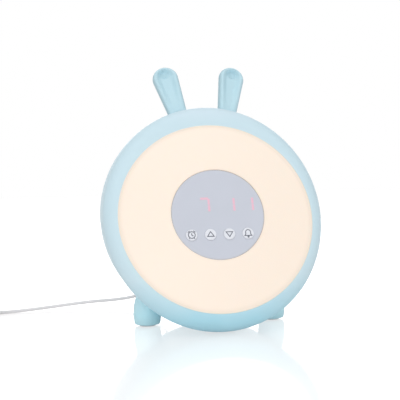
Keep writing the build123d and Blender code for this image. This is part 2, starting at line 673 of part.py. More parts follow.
def led_ring_board():
    low = TRAY_FLOOR_TOP + SEAT_GAP
    board = tube(LED_BOARD_INNER + LED_BOARD_WIDTH, LED_BOARD_INNER, low, low + BOARD_THICKNESS)
    for x, y in round_places(LED_BOARD_SCREWS, LED_SCREW_RADIUS, 90.0):
        board -= rod(SMALL_BORE, low, low + BOARD_THICKNESS, x, y)
    return on_face(board)


def ring_leds():
    low = TRAY_FLOOR_TOP + BOARD_THICKNESS + 2 * SEAT_GAP
    high = low + LED_HEIGHT
    floor = low + LED_HEIGHT / 2
    cup = turned([(0, high), (0, floor), (LED_LENS_FLOOR, floor), (LED_LENS_RADIUS, high)])
    led = block(LED_SIDE, LED_SIDE, low, high, LED_MIDDLE, 0) - Pos(LED_MIDDLE, 0, 0) * cup
    return on_face(Compound([Rot(0, 0, (i + 0.5) * 360.0 / LED_COUNT) * led for i in range(LED_COUNT)]))


# ---------------------------------------------------------------- display


def display_panel():
    low = LEDGE_TOP + SEAT_GAP
    panel = rod(PANEL_RADIUS, low, PANEL_TOP)
    panel = fillet(panel.faces().sort_by(Axis.Z)[-1].edges(), KEY_EDGE)
    for x in KEY_OFFSETS:
        panel -= rod(KEY_RADIUS + KEY_GAP, low, PANEL_TOP, x, KEY_ROW)
    return on_face(panel)


def key(x):
    cap = rod(KEY_RADIUS, LEDGE_TOP - KEY_GAP, PANEL_TOP + KEY_PROUD, x, KEY_ROW)
    cap = fillet(cap.faces().sort_by(Axis.Z)[-1].edges(), KEY_EDGE)
    flange_top = LEDGE_TOP - KEY_GAP
    cap += rod(KEY_RADIUS + KEY_FLANGE, flange_top - KEY_FLANGE_THICKNESS, flange_top, x, KEY_ROW)
    return on_face(cap + rod(KEY_STEM_RADIUS, PLUNGER_TOP + SEAT_GAP, flange_top, x, KEY_ROW))


def key_plunger(x):
    return on_face(rod(PLUNGER_RADIUS, PLUNGER_TOP - PLUNGER_LENGTH, PLUNGER_TOP, x, KEY_ROW))


def tact_switches():
    bore_end = PLUNGER_TOP - PLUNGER_LENGTH - KEY_TRAVEL - FIT_GAP
    switches = []
    for x in KEY_OFFSETS:
        body = block(SWITCH_SIDE, SWITCH_SIDE, SEAT_GAP - DISPLAY_BOARD_DEPTH, SWITCH_TOP, x, KEY_ROW)
        switches.append(body - rod(PLUNGER_RADIUS + KEY_GAP, bore_end, SWITCH_TOP, x, KEY_ROW))
    return on_face(Compound(switches))


def display_board():
    board = rod(DISPLAY_BOARD_RADIUS, BOARD_BACK, -DISPLAY_BOARD_DEPTH)
    for x, y in DISPLAY_POSTS:
        board -= rod(SMALL_BORE, BOARD_BACK, -DISPLAY_BOARD_DEPTH, x, y)
    return on_face(board)


def bar(length, width):
    """A digit's bar with pointed ends."""
    tip, flat, half = length / 2, (length - width) / 2, width / 2
    corners = [(-tip, 0), (-flat, half), (flat, half), (tip, 0), (flat, -half), (-flat, -half)]
    return make_face(Polyline(*corners, close=True))


def digit_bars(grow=0.0):
    """The seven bars of a digit, by their usual letters, centred on the digit."""
    across = DIGIT_WIDTH - BAR_WIDTH - BAR_GAP + 2 * grow
    upright = (DIGIT_HEIGHT - BAR_WIDTH) / 2 - BAR_GAP + 2 * grow
    width = BAR_WIDTH + 2 * grow
    side = (DIGIT_WIDTH - BAR_WIDTH) / 2
    top = (DIGIT_HEIGHT - BAR_WIDTH) / 2
    places = {
        "a": (0, top, 0), "g": (0, 0, 0), "d": (0, -top, 0),
        "f": (-side, top / 2, 90), "b": (side, top / 2, 90),
        "e": (-side, -top / 2, 90), "c": (side, -top / 2, 90),
    }
    return {
        name: Pos(x, y, 0) * Rot(0, 0, turn) * bar(upright if turn else across, width)
        for name, (x, y, turn) in places.items()
    }


LIT_BARS = {" ": "", "7": "abc", "1": "bc"}
MODULE_TOP = MODULE_DEPTH - DISPLAY_BOARD_DEPTH


def segment_solids(lit, grow=0.0):
    low = MODULE_TOP - BAR_DEPTH - grow
    height = BAR_DEPTH + grow
    solids = []
    for offset, digit in zip(DIGIT_OFFSETS, DIGITS):
        for name, face in digit_bars(grow).items():
            if (name in LIT_BARS[digit]) == lit:
                solids.append(extrude(Pos(offset, DIGIT_ROW, low) * face, height))
    if lit:
        for rise in (-COLON_RISE, COLON_RISE):
            solids.append(rod(COLON_RADIUS + grow, low, low + height, 0, DIGIT_ROW + rise))
    return solids


def digit_module():
    body = block(MODULE_WIDTH, MODULE_HEIGHT, SEAT_GAP - DISPLAY_BOARD_DEPTH, MODULE_TOP, 0, DIGIT_ROW)
    for pocket in segment_solids(True, SEAT_GAP) + segment_solids(False, SEAT_GAP):
        body -= pocket
    return on_face(body)


# ---------------------------------------------------------------- back of the case


def main_board():
    board = block(MAIN_BOARD_WIDTH, MAIN_BOARD_HEIGHT, MAIN_BOARD_FRONT, MAIN_BOARD_BACK, 0, -MAIN_BOARD_DROP)
    for x, y in main_board_places():
        board -= rod(SMALL_BORE, MAIN_BOARD_FRONT, MAIN_BOARD_BACK, x, y)
    return on_back(board)


CONNECTOR_PLACES = [(i * CONNECTOR_PITCH, CONNECTOR_RISE) for i in (0, -1, 1)]


def board_part(x, up, size):
    """A box on the front of the main board, placed from the board's middle."""
    width, depth, height = size
    high = MAIN_BOARD_FRONT - SEAT_GAP
    return on_back(block(width, height, high - depth, high, x, up - MAIN_BOARD_DROP))


def board_connectors():
    return Compound([board_part(x, up, CONNECTOR) for x, up in CONNECTOR_PLACES])


def controller_chip():
    return board_part(MAIN_BOARD_WIDTH / 2 - CHIP_INSET, -PARTS_DROP, (CHIP_SIDE, CHIP_HEIGHT, CHIP_SIDE))


def board_capacitors():
    high = MAIN_BOARD_FRONT - SEAT_GAP
    cans = []
    first = MAIN_BOARD_WIDTH / 2 - CAPACITOR_INSET
    for x in (first, first + 3 * CAPACITOR_RADIUS):
        can = rod(CAPACITOR_RADIUS, high - CAPACITOR_HEIGHT, high, x, -PARTS_DROP - MAIN_BOARD_DROP)
        cans.append(fillet(can.faces().sort_by(Axis.Z)[0].edges(), CAPACITOR_RADIUS / 5))
    return on_back(Compound(cans))


def dc_socket():
    low, high = MAIN_BOARD_BACK + SEAT_GAP, -WALL - SEAT_GAP
    body = block(SOCKET_WIDTH, SOCKET_HEIGHT, low, high, -SOCKET_X, -SOCKET_DROP)
    return on_back(body - rod(SOCKET_BORE, high - SOCKET_BORE_DEPTH, high, -SOCKET_X, -SOCKET_DROP))


def dc_socket_pin():
    high = -WALL - SEAT_GAP
    return on_back(rod(SOCKET_PIN, high - SOCKET_BORE_DEPTH, high - FIT_GAP, -SOCKET_X, -SOCKET_DROP))


def speaker_frame():
    """Rim and basket, from the back wall inwards."""
    rim_low = -WALL - SPEAKER_RIM
    deep = -WALL - SPEAKER_BASKET
    inside = SPEAKER_RADIUS - SPEAKER_FLANGE
    outline = [
        (SPEAKER_RADIUS, -WALL - SEAT_GAP),
        (SPEAKER_RADIUS, rim_low),
        (inside + BASKET_SHEET, rim_low),
        (MAGNET_RADIUS, deep),
        (MAGNET_RADIUS - MAGNET_LIP, deep),
        (MAGNET_RADIUS - MAGNET_LIP, deep + BASKET_SHEET),
        (MAGNET_RADIUS - BASKET_SHEET / 2, deep + BASKET_SHEET),
        (inside, rim_low + BASKET_SHEET),
        (inside, -WALL - SEAT_GAP),
    ]
    return on_back(Pos(0, SPEAKER_RISE, 0) * turned(outline))


def speaker_cone():
    """A pressed paper cone with a rolled edge and a dust cap, of one thickness."""
    edge = SPEAKER_RADIUS - SPEAKER_FLANGE - FIT_GAP
    high = -WALL - 1.0
    neck = -WALL - SPEAKER_BASKET + POLE_RISE + BASKET_SHEET + CONE_THICKNESS
    rolled_edge = [(edge, high), (edge - 2.0, high - 1.0)]
    face = rolled_edge + [(CONE_NECK, neck), (CONE_CAP, neck + 1.5), (0, neck + 2.5)]
    under = [(radius, height - 1.4 * CONE_THICKNESS) for radius, height in reversed(face)]
    return on_back(Pos(0, SPEAKER_RISE, 0) * turned(face + under))


def speaker_magnet():
    high = -WALL - SPEAKER_BASKET - SEAT_GAP
    magnet = rod(MAGNET_RADIUS, high - MAGNET_HEIGHT, high, 0, SPEAKER_RISE)
    magnet = fillet(magnet.faces().sort_by(Axis.Z)[0].edges(), MAGNET_HEIGHT / 8)
    pole = rod(MAGNET_RADIUS - MAGNET_LIP - FIT_GAP, high, high + POLE_RISE, 0, SPEAKER_RISE)
    return on_back(magnet + pole)


# ---------------------------------------------------------------- battery


def battery_door():
    x, y = -BATTERY_X, -BATTERY_DROP
    door = rod(DOOR_RADIUS, -DOOR_THICKNESS, 0, x, y)
    door = fillet(door.faces().sort_by(Axis.Z)[-1].edges(), 0.5)
    ring = tube(CELL_RADIUS, CELL_RADIUS - DOOR_RING, -DOOR_RING_DEPTH, -DOOR_THICKNESS, x, y)
    door += ring
    door -= rod(SMALL_BORE, -2 * DOOR_THICKNESS, 0, x, y + DOOR_SCREW_OFFSET)
    door -= rod(SMALL_SCREW[1] + FIT_GAP, -SMALL_SCREW[2] - FIT_GAP, 0, x, y + DOOR_SCREW_OFFSET)
    return on_back(door)


def battery_door_screw():
    seat = Pos(-BATTERY_X, DOOR_SCREW_OFFSET - BATTERY_DROP, SEAT_GAP - SMALL_SCREW[2] - FIT_GAP)
    return on_back(seat * screw(SMALL_SCREW, SMALL_SCREW_LENGTH))


def coin_cell():
    x, y = -BATTERY_X, -BATTERY_DROP
    cell = rod(CELL_RADIUS, CELL_BOTTOM + 0.3, CELL_TOP, x, y)
    cell = fillet(cell.edges(), 0.3)
    return on_back(cell + rod(CELL_RADIUS - 1.6, CELL_BOTTOM, CELL_TOP - 1, x, y))


def battery_contact():
    x, y = -BATTERY_X, -BATTERY_DROP
    low = CUP_BOTTOM + SEAT_GAP
    plate = rod(CELL_RADIUS - 2, low, low + CONTACT_THICKNESS, x, y)
    return on_back(plate + rod(CELL_RADIUS / 4, low, CELL_BOTTOM - SEAT_GAP, x, y))


# ---------------------------------------------------------------- screws


def face_places(places, height, flip):
    """Screw seats on pieces that lean with the face."""
    turn = Rot(180, 0, 0) if flip else Rot(0, 0, 0)
    return [face_frame.location * Pos(x, y, height) * turn for x, y in places]


def back_places(places, height):
    """Screw seats that face the front of the clock."""
    return [back_frame.location * Pos(x, y, height) * Rot(180, 0, 0) for x, y in places]


def case_screw_places():
    places = []
    for x, z in CASE_POSTS:
        seat = boss_end_y(z) + CASE_SCREW_SEAT + SEAT_GAP
        places.append(Pos(x, seat, AXIS_HEIGHT + z) * Rot(-90, 0, 0))
    return places


# ---------------------------------------------------------------- harness inside the case


def face_point(x, y, z):
    point = face_frame.location * Pos(x, y, z)
    return tuple(point.position)


def back_point(x, y, z):
    point = back_frame.location * Pos(x, y, z)
    return tuple(point.position)


HARNESS_RADIUS = 1.2


def harness(start, through, connector):
    """A lead from a board, through the tray, into a connector on the main board."""
    x, up = CONNECTOR_PLACES[connector]
    end = MAIN_BOARD_FRONT - CONNECTOR[1] - 2 * SEAT_GAP
    stop = back_point(x, up - MAIN_BOARD_DROP, end)
    before = back_point(x, up - MAIN_BOARD_DROP, end - 4 * HARNESS_RADIUS)
    return swept([start, through, before, stop], HARNESS_RADIUS)[0]


def display_cable():
    return harness(face_point(0, 0, BOARD_BACK - SEAT_GAP), face_point(0, 0, -TRAY_DEPTH - 2), 0)


def led_cable():
    start = face_point(-LED_MIDDLE, 0, TRAY_FLOOR_TOP)
    return harness(start, face_point(-LED_MIDDLE, 0, -TRAY_DEPTH - 5), 2)


def speaker_cable():
    start = back_point(-MAGNET_RADIUS - 4, SPEAKER_RISE - 2, -WALL - SPEAKER_RIM - 8)
    return harness(start, back_point(-MAGNET_RADIUS - 4, SPEAKER_RISE - 12, -WALL - SPEAKER_RIM - 14), 1)


# ---------------------------------------------------------------- supply cord

RELIEF_END = PLUG_LENGTH + RELIEF_LENGTH
CORD_HEIGHT = AXIS_HEIGHT - SOCKET_DROP

# The cord's route: out of the strain relief, down to the surface on the clock's left, and to the coil.
CORD_POINTS = [
    (SOCKET_X, BACK_Y + RELIEF_END, CORD_HEIGHT),
    (-20.0, 91.0, 29.2),
    (-23.0, 107.0, 22.0),
    (-37.0, 116.5, 13.0),
    (-60.0, 119.5, 7.4),
    (-91.0, 120.0, 5.4),
    (-121.0, 117.5, 3.0),
    (-150.0, 112.0, 1.5),
    (-173.0, 106.0, 1.5),
    (-191.0, 104.0, 1.5),
]


def cord_plug():
    """The overmoulded body behind the clock and the nose that reaches into it."""
    start = -WALL
    outside = [(BARREL_RADIUS, start), (PLUG_RADIUS, start), (PLUG_RADIUS, PLUG_LENGTH - PLUG_TAPER)]
    inside = [(0, PLUG_LENGTH), (0, start + BARREL_HOLD), (BARREL_RADIUS, start + BARREL_HOLD)]
    body = turned(outside + [(RELIEF_RADIUS, PLUG_LENGTH)] + inside)
    for i in range(GRIP_GROOVES):
        low = GRIP_START + GRIP_PITCH * i
        body -= tube(2 * PLUG_RADIUS, PLUG_RADIUS - GRIP_DEPTH, low, low + GRIP_WIDTH)
    return on_back(Pos(-SOCKET_X, -SOCKET_DROP, 0) * body)


def cord_plug_barrel():
    low = -WALL - BARREL_LENGTH
    return on_back(tube(BARREL_RADIUS, BARREL_BORE, low, BARREL_HOLD - WALL, -SOCKET_X, -SOCKET_DROP))


def cord_strain_relief():
    outside = [(RELIEF_RADIUS, PLUG_LENGTH), (RELIEF_END_RADIUS, RELIEF_END)]
    relief = turned([(0, PLUG_LENGTH)] + outside + [(0, RELIEF_END)])
    return on_back(Pos(-SOCKET_X, -SOCKET_DROP, 0) * relief)


COIL_OUTER = COIL_INNER + 2 * CORD_RADIUS * COIL_COLUMNS
COIL_HEIGHT = 2 * CORD_RADIUS * COIL_ROWS
LAST_TURN = COIL_OUTER - CORD_RADIUS
CORD_END_POINTS = [
    (COIL_CENTRE[0] - LAST_TURN, COIL_CENTRE[1] - 8.0, COIL_HEIGHT - CORD_RADIUS),
    (COIL_CENTRE[0] - LAST_TURN - 0.6, COIL_CENTRE[1] - 21.0, COIL_HEIGHT - CORD_RADIUS - 2.5),
    (COIL_CENTRE[0] - LAST_TURN - 0.6, COIL_CENTRE[1] - 34.0, USB_BODY[2] / 2),
    (COIL_CENTRE[0] - LAST_TURN - 0.6, COIL_CENTRE[1] - 46.0, USB_BODY[2] / 2),
]


def cord_coil():
    ring = tube(COIL_OUTER, COIL_INNER, 0, COIL_HEIGHT)
    ring = fillet(ring.edges().filter_by(GeomType.CIRCLE), CORD_RADIUS)
    return Pos(*COIL_CENTRE, 0) * ring


def cord_tie():
    """A soft tie round one side of the coil."""
    across = COIL_OUTER - COIL_INNER
    tall = COIL_HEIGHT
    outer = Box(across + 2 * TIE_THICKNESS, TIE_WIDTH, tall + TIE_THICKNESS)
    inner = Box(across, TIE_WIDTH, tall)
    loop = Pos(0, 0, (tall + TIE_THICKNESS) / 2) * outer - Pos(0, 0, tall / 2) * inner
    return Pos(COIL_CENTRE[0] + (COIL_OUTER + COIL_INNER) / 2, COIL_CENTRE[1], 0) * loop


def usb_place():
    x, y, z = CORD_END_POINTS[-1]
    return Pos(x, y, z) * Rot(90, 0, 0)


def usb_plug_body():
    width, length, height = USB_BODY
    body = block(width, height, 0, length)
    body = fillet(body.edges(), USB_EDGE)
    reach = length + USB_SHELL[1] - 2 * USB_SHELL_WALL
    insert = block(USB_SHELL[0] - 1.5, 1.8, length / 2, reach, 0, 0.8)
    low = length - USB_SHELL_HOLD - SEAT_GAP
    slot = block(USB_SHELL[0] + 2 * SEAT_GAP, USB_SHELL[2] + 2 * SEAT_GAP, low, length + 1)
    return usb_place() * ((body - slot) + insert)


def usb_plug_shell():
    length = USB_BODY[1]
    width, reach, height = USB_SHELL
    low = length - USB_SHELL_HOLD
    shell = block(width, height, low, length + reach)
    hollow = block(width - 2 * USB_SHELL_WALL, height - 2 * USB_SHELL_WALL, low, length + reach)
    shell -= hollow
    latch_low = length + reach / 2 - 1
    for x in (-USB_LATCH_X, USB_LATCH_X):
        shell -= block(USB_LATCH[0], 2 * height, latch_low, latch_low + USB_LATCH[1], x, 0)
    return usb_place() * shell


# ---------------------------------------------------------------- all the pieces


def write_case():
    write("front_bezel", front_bezel())
    write("rear_housing", rear_housing())
    for name, side in (("left", -1), ("right", 1)):
        write(f"{name}_ear", ear(side))
        write(f"{name}_foot", foot(side))
    write("foot_pads", foot_pads())
    write("base_pad", base_pad())


def write_light():
    write("diffuser_ring", diffuser_ring())
    write("reflector_tray", reflector_tray())
    write("led_ring_board", led_ring_board())
    write("ring_leds", ring_leds())


def write_display():
    write("display_panel", display_panel())
    for name, x in zip(KEY_NAMES, KEY_OFFSETS):
        write(f"key_{name}", key(x))
        write(f"key_plunger_{name}", key_plunger(x))
    write("tact_switches", tact_switches())
    write("display_board", display_board())
    write("digit_module", digit_module())
    write("digit_segments_lit", on_face(Compound(segment_solids(True))))
    write("digit_segments_unlit", on_face(Compound(segment_solids(False))))


def write_back():
    write("main_board", main_board())
    write("board_connectors", board_connectors())
    write("controller_chip", controller_chip())
    write("board_capacitors", board_capacitors())
    write("dc_socket", dc_socket())
    write("dc_socket_pin", dc_socket_pin())
    write("speaker_frame", speaker_frame())
    write("speaker_cone", speaker_cone())
    write("speaker_magnet", speaker_magnet())
    write("battery_door", battery_door())
    write("battery_door_screw", battery_door_screw())
    write("coin_cell", coin_cell())
    write("battery_contact", battery_contact())
    write("display_cable", display_cable())
    write("led_cable", led_cable())
    write("speaker_cable", speaker_cable())


def write_screws():
    ear_screws, foot_screws = limb_screws()
    write("ear_screws", ear_screws)
    write("foot_screws", foot_screws)
    lugs = round_places(TRAY_LUGS, TRAY_LUG_CENTRE, 180.0 / TRAY_LUGS)
    tray_seats = face_places(lugs, TRAY_FLANGE_BOTTOM - SEAT_GAP, True)
    write("tray_screws", screws(SMALL_SCREW, SMALL_SCREW_LENGTH, tray_seats))
    board_seats = face_places(DISPLAY_POSTS, SEAT_GAP - DISPLAY_BOARD_DEPTH, False)
    write("display_board_screws", screws(SMALL_SCREW, SMALL_SCREW_LENGTH, board_seats))
    led_top = TRAY_FLOOR_TOP + BOARD_THICKNESS + 2 * SEAT_GAP
    led_seats = face_places(round_places(LED_BOARD_SCREWS, LED_SCREW_RADIUS, 90.0), led_top, False)
    write("led_board_screws", screws(SMALL_SCREW, SMALL_SCREW_LENGTH, led_seats))
    main_seats = back_places(main_board_places(), MAIN_BOARD_FRONT - SEAT_GAP)
    write("main_board_screws", screws(SMALL_SCREW, SMALL_SCREW_LENGTH, main_seats))
    speaker_seats = back_places(speaker_places(SPEAKER_BOSS_CENTRE), -WALL - SPEAKER_RIM - SEAT_GAP)
    wide_screw = (SMALL_SCREW[0], SPEAKER_SCREW_HEAD, SMALL_SCREW[2])
    write("speaker_screws", screws(wide_screw, SPEAKER_RIM, speaker_seats))
    write("case_screws", screws(CASE_SCREW, CASE_SCREW_LENGTH, case_screw_places()))


def write_cord():
    write("cord_plug", cord_plug())
    write("cord_plug_barrel", cord_plug_barrel())
    write("cord_strain_relief", cord_strain_relief())
    total = 0.0
    for name, points in (("power_cord", CORD_POINTS), ("power_cord_end", CORD_END_POINTS)):
        cord, path, radii = swept(points, CORD_RADIUS)
        section = pi * CORD_RADIUS**2 * path.length
        print(name, "length", round(path.length, 1), "radii", [round(r, 1) for r in radii])
        print(name, "volume over section times length", round(cord.volume / section, 5))
        total += path.length
        write(name, cord)
    turns = [COIL_INNER + CORD_RADIUS * (2 * i + 1) for i in range(COIL_COLUMNS)]
    total += COIL_ROWS * sum(2 * pi * radius for radius in turns)
    print("cord length in all", round(total))
    write("cord_coil", cord_coil())
    write("cord_tie", cord_tie())
    write("usb_plug_body", usb_plug_body())
    write("usb_plug_shell", usb_plug_shell())


write_case()
write_light()
write_display()
write_back()
write_screws()
write_cord()
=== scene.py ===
"""A child's wake-up light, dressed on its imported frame: drum, rabbit ears, glowing ring, display and cord."""

import logging
from dataclasses import dataclass, field
from enum import Enum
from typing import ClassVar, Iterable, Optional, Sequence

import bmesh
import bpy
import numpy as np
from mathutils import Matrix, Vector


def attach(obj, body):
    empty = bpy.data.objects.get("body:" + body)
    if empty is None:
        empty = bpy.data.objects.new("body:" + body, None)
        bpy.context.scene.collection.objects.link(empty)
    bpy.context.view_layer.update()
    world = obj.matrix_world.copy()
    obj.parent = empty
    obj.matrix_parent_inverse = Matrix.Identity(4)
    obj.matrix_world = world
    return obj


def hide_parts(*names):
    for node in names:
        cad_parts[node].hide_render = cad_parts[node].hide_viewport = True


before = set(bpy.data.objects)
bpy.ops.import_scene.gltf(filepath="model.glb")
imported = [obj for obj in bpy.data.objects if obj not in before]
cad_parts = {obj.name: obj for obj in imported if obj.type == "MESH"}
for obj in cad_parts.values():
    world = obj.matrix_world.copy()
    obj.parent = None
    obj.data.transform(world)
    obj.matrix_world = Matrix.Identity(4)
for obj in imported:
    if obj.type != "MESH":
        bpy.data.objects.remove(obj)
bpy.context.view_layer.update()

MM = 0.001
LOG = logging.getLogger("wake_up_light")

Colour = tuple[float, float, float]
Point = tuple[float, float, float]


# ---------------------------------------------------------------- places on the clock


@dataclass(frozen=True)
class Place:
    """Axes on the clock in which a piece is drawn in millimetres."""

    origin: Point
    across: Point
    up: Point
    out: Point

    def put(self, points: np.ndarray) -> np.ndarray:
        """Takes points across, up and out, in millimetres, to the clock's own frame in metres."""
        axes = np.array([self.across, self.up, self.out])
        return (np.asarray(points, float) @ axes + np.array(self.origin)) * MM

    def take(self, points: np.ndarray) -> np.ndarray:
        """Takes points of the clock's own frame, in metres, back to these axes in millimetres."""
        return (points / MM - np.array(self.origin)) @ np.array([self.across, self.up, self.out]).T


LEAN = np.radians(20.0)         # how far the face leans back
AXIS_HEIGHT = 87.2              # of the drum's axis over the table, in millimetres like all sizes here
CASE_RADIUS = 86.0
FACE_SET = -23.5                # where the leaning face crosses the drum's axis
BACK_FLAT = 36.5                # where the flat back lies on that axis
BACK_ROUND = 16.0               # the radius of the back's edge
SKIN_GAP = 0.1                  # by which an ear's root stands clear of the drum
FACE = Place(
    origin=(0.0, FACE_SET, AXIS_HEIGHT),
    across=(1.0, 0.0, 0.0),
    up=(0.0, np.sin(LEAN), np.cos(LEAN)),
    out=(0.0, -np.cos(LEAN), np.sin(LEAN)),
)
BACK = Place(
    origin=(0.0, BACK_FLAT, AXIS_HEIGHT),
    across=(-1.0, 0.0, 0.0),
    up=(0.0, 0.0, 1.0),
    out=(0.0, 1.0, 0.0),
)


class Body(Enum):
    """The bodies that pieces ride on."""

    ROOT = "root"
    CLOCK_KEY = "clock_key"
    UP_KEY = "up_key"
    DOWN_KEY = "down_key"
    BELL_KEY = "bell_key"
    BATTERY_DOOR = "battery_door"


# ---------------------------------------------------------------- pieces


def placed(name: str, data: bpy.types.ID) -> bpy.types.Object:
    """Makes an object of some data and puts it in the scene.

    Args:
        name: the object's name.
        data: its mesh, curve, lamp or camera.

    Returns:
        The object, at the origin.
    """
    made = bpy.data.objects.new(name, data)
    bpy.context.scene.collection.objects.link(made)
    return made


def settle(
    piece: bpy.types.Object, body: Body, material: bpy.types.Material, replaces: Sequence[str] = ()
) -> bpy.types.Object:
    """Lets a piece ride on its body and gives it its finish.

    Args:
        piece: the new piece.
        body: what it rides on.
        material: the finish.
        replaces: the nodes whose look it takes over.

    Returns:
        The piece.
    """
    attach(piece, body.value)
    if replaces:
        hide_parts(*replaces)
    piece.data.materials.append(material)
    LOG.info("%s rides on %s", piece.name, body.value)
    return piece


# ---------------------------------------------------------------- surfaces


@dataclass
class Surface:
    """Vertices and faces worked out on grids, gathered into one mesh."""

    points: list[np.ndarray] = field(default_factory=list)
    faces: list[np.ndarray] = field(default_factory=list)
    count: int = 0

    def add_grid(
        self, grid: np.ndarray, wrap: tuple[bool, bool] = (False, False), flip: bool = False
    ) -> None:
        """Adds a grid of points as four-sided faces.

        Args:
            grid: an array of rows by columns by three.
            wrap: whether the last row joins the first, and the last column the first.
            flip: turns the faces round.
        """
        rows, columns = grid.shape[:2]
        i = np.arange(rows if wrap[0] else rows - 1)
        j = np.arange(columns if wrap[1] else columns - 1)
        i, j = (a.ravel() for a in np.meshgrid(i, j, indexing="ij"))
        down, right = (i + 1) % rows, (j + 1) % columns
        here, below = i * columns, down * columns
        quads = np.stack([here + j, here + right, below + right, below + j], -1)
        self._add(grid.reshape(-1, 3), quads[:, ::-1] if flip else quads)

    def add_fan(self, ring: np.ndarray, centre: np.ndarray, flip: bool = False) -> None:
        """Closes a ring of points with triangles to its centre.

        Args:
            ring: points in order round the opening.
            centre: the pole.
            flip: turns the faces round.
        """
        n = len(ring)
        i = np.arange(n)
        faces = np.stack([i, (i + 1) % n, np.full(n, n)], -1)
        self._add(np.vstack([ring, centre]), faces[:, ::-1] if flip else faces)

    def _add(self, points: np.ndarray, faces: np.ndarray) -> None:
        """Takes in points and the faces between them.

        Args:
            points: the points, in metres.
            faces: for each face, its points' places in that list.
        """
        self.points.append(points)
        self.faces.append(faces + self.count)
        self.count += len(points)

    def piece(self, name: str, weld: float = 1e-7, sharp: float = 35.0) -> bpy.types.Object:
        """Makes the mesh and its object.

        Args:
            name: the piece's name.
            weld: points nearer than this become one, in metres.
            sharp: edges that bend more than this stay crisp, in degrees.

        Returns:
            The new object, at the origin.
        """
        mesh = bpy.data.meshes.new(name)
        faces = [row for block in self.faces for row in block.tolist()]
        mesh.from_pydata(np.vstack(self.points).tolist(), [], faces)
        bm = bmesh.new()
        bm.from_mesh(mesh)
        bmesh.ops.remove_doubles(bm, verts=bm.verts, dist=weld)
        bm.to_mesh(mesh)
        bm.free()
        mesh.validate()
        mesh.shade_smooth()
        mesh.set_sharp_from_angle(angle=np.radians(sharp))
        return placed(name, mesh)


def round_angles(count: int) -> np.ndarray:
    """Angles evenly round a circle, without the last.

    Args:
        count: how many.

    Returns:
        The angles, in radians.
    """
    return np.linspace(0.0, 2 * np.pi, count, endpoint=False)


def soft_step(value: np.ndarray) -> np.ndarray:
    """Nought below 0, one above 1, and t squared times (3 - 2t) between.

    Args:
        value: the values to step.

    Returns:
        A step for each.
    """
    t = np.clip(value, 0.0, 1.0)
    return t * t * (3 - 2 * t)


def skin_radius(y: np.ndarray) -> np.ndarray:
    """The drum's radius at a place on its axis: the full one, then a quarter circle in to the flat back.

    Args:
        y: places on the axis, in millimetres.

    Returns:
        The radius at each, in millimetres.
    """
    into = np.clip(y - (BACK_FLAT - BACK_ROUND), 0.0, BACK_ROUND)
    return CASE_RADIUS - BACK_ROUND + np.sqrt(BACK_ROUND**2 - into**2)


def turned(profile: np.ndarray, count: int = 72) -> np.ndarray:
    """A surface of revolution: each (radius, height) of the profile is carried round the height axis.

    Args:
        profile: an array of radius and height pairs.
        count: how many steps go round.

    Returns:
        A grid of rows along the profile by columns round the axis.
    """
    angle = round_angles(count)
    radius, height = profile[:, :1], profile[:, 1:]
    return np.stack([radius * np.cos(angle), radius * np.sin(angle), height + 0 * angle], -1)


# ---------------------------------------------------------------- shader graph


class Value:
    """A shader socket in an expression; each operator adds a Math node."""

    def __init__(self, graph: "Graph", socket: bpy.types.NodeSocket) -> None:
        """Keeps the socket and the graph that it belongs to."""
        self.graph = graph
        self.socket = socket

    def _math(self, operation: str, first: object, second: object) -> "Value":
        """One Math node between two values or numbers."""
        return self.graph.node("ShaderNodeMath", {"operation": operation}, {0: first, 1: second})

    def __add__(self, other: object) -> "Value":
        """Sum."""
        return self._math("ADD", self, other)

    __radd__ = __add__

    def __sub__(self, other: object) -> "Value":
        """Difference."""
        return self._math("SUBTRACT", self, other)

    def __rsub__(self, other: object) -> "Value":
        """Difference from a number."""
        return self._math("SUBTRACT", other, self)

    def __mul__(self, other: object) -> "Value":
        """Product."""
        return self._math("MULTIPLY", self, other)

    __rmul__ = __mul__

    def __truediv__(self, other: object) -> "Value":
        """Quotient."""
        return self._math("DIVIDE", self, other)

    def __rtruediv__(self, other: object) -> "Value":
        """Quotient of a number."""
        return self._math("DIVIDE", other, self)

    def __pow__(self, other: object) -> "Value":
        """Power."""
        return self._math("POWER", self, other)

    def __abs__(self) -> "Value":
        """The value without its sign."""
        return self.graph.node("ShaderNodeMath", {"operation": "ABSOLUTE"}, {0: self})

    def swing(self, spread: float) -> "Value":
        """A value from 0 to 1 as a swing of that spread about nought."""
        return (self - 0.5) * spread

    def above(self, edge: float, width: float) -> "Value":
        """A soft step from 0 to 1 across an edge."""
        inputs = {0: self, 1: edge - width / 2, 2: edge + width / 2}
        return self.graph.node("ShaderNodeMapRange", {"interpolation_type": "SMOOTHSTEP"}, inputs)


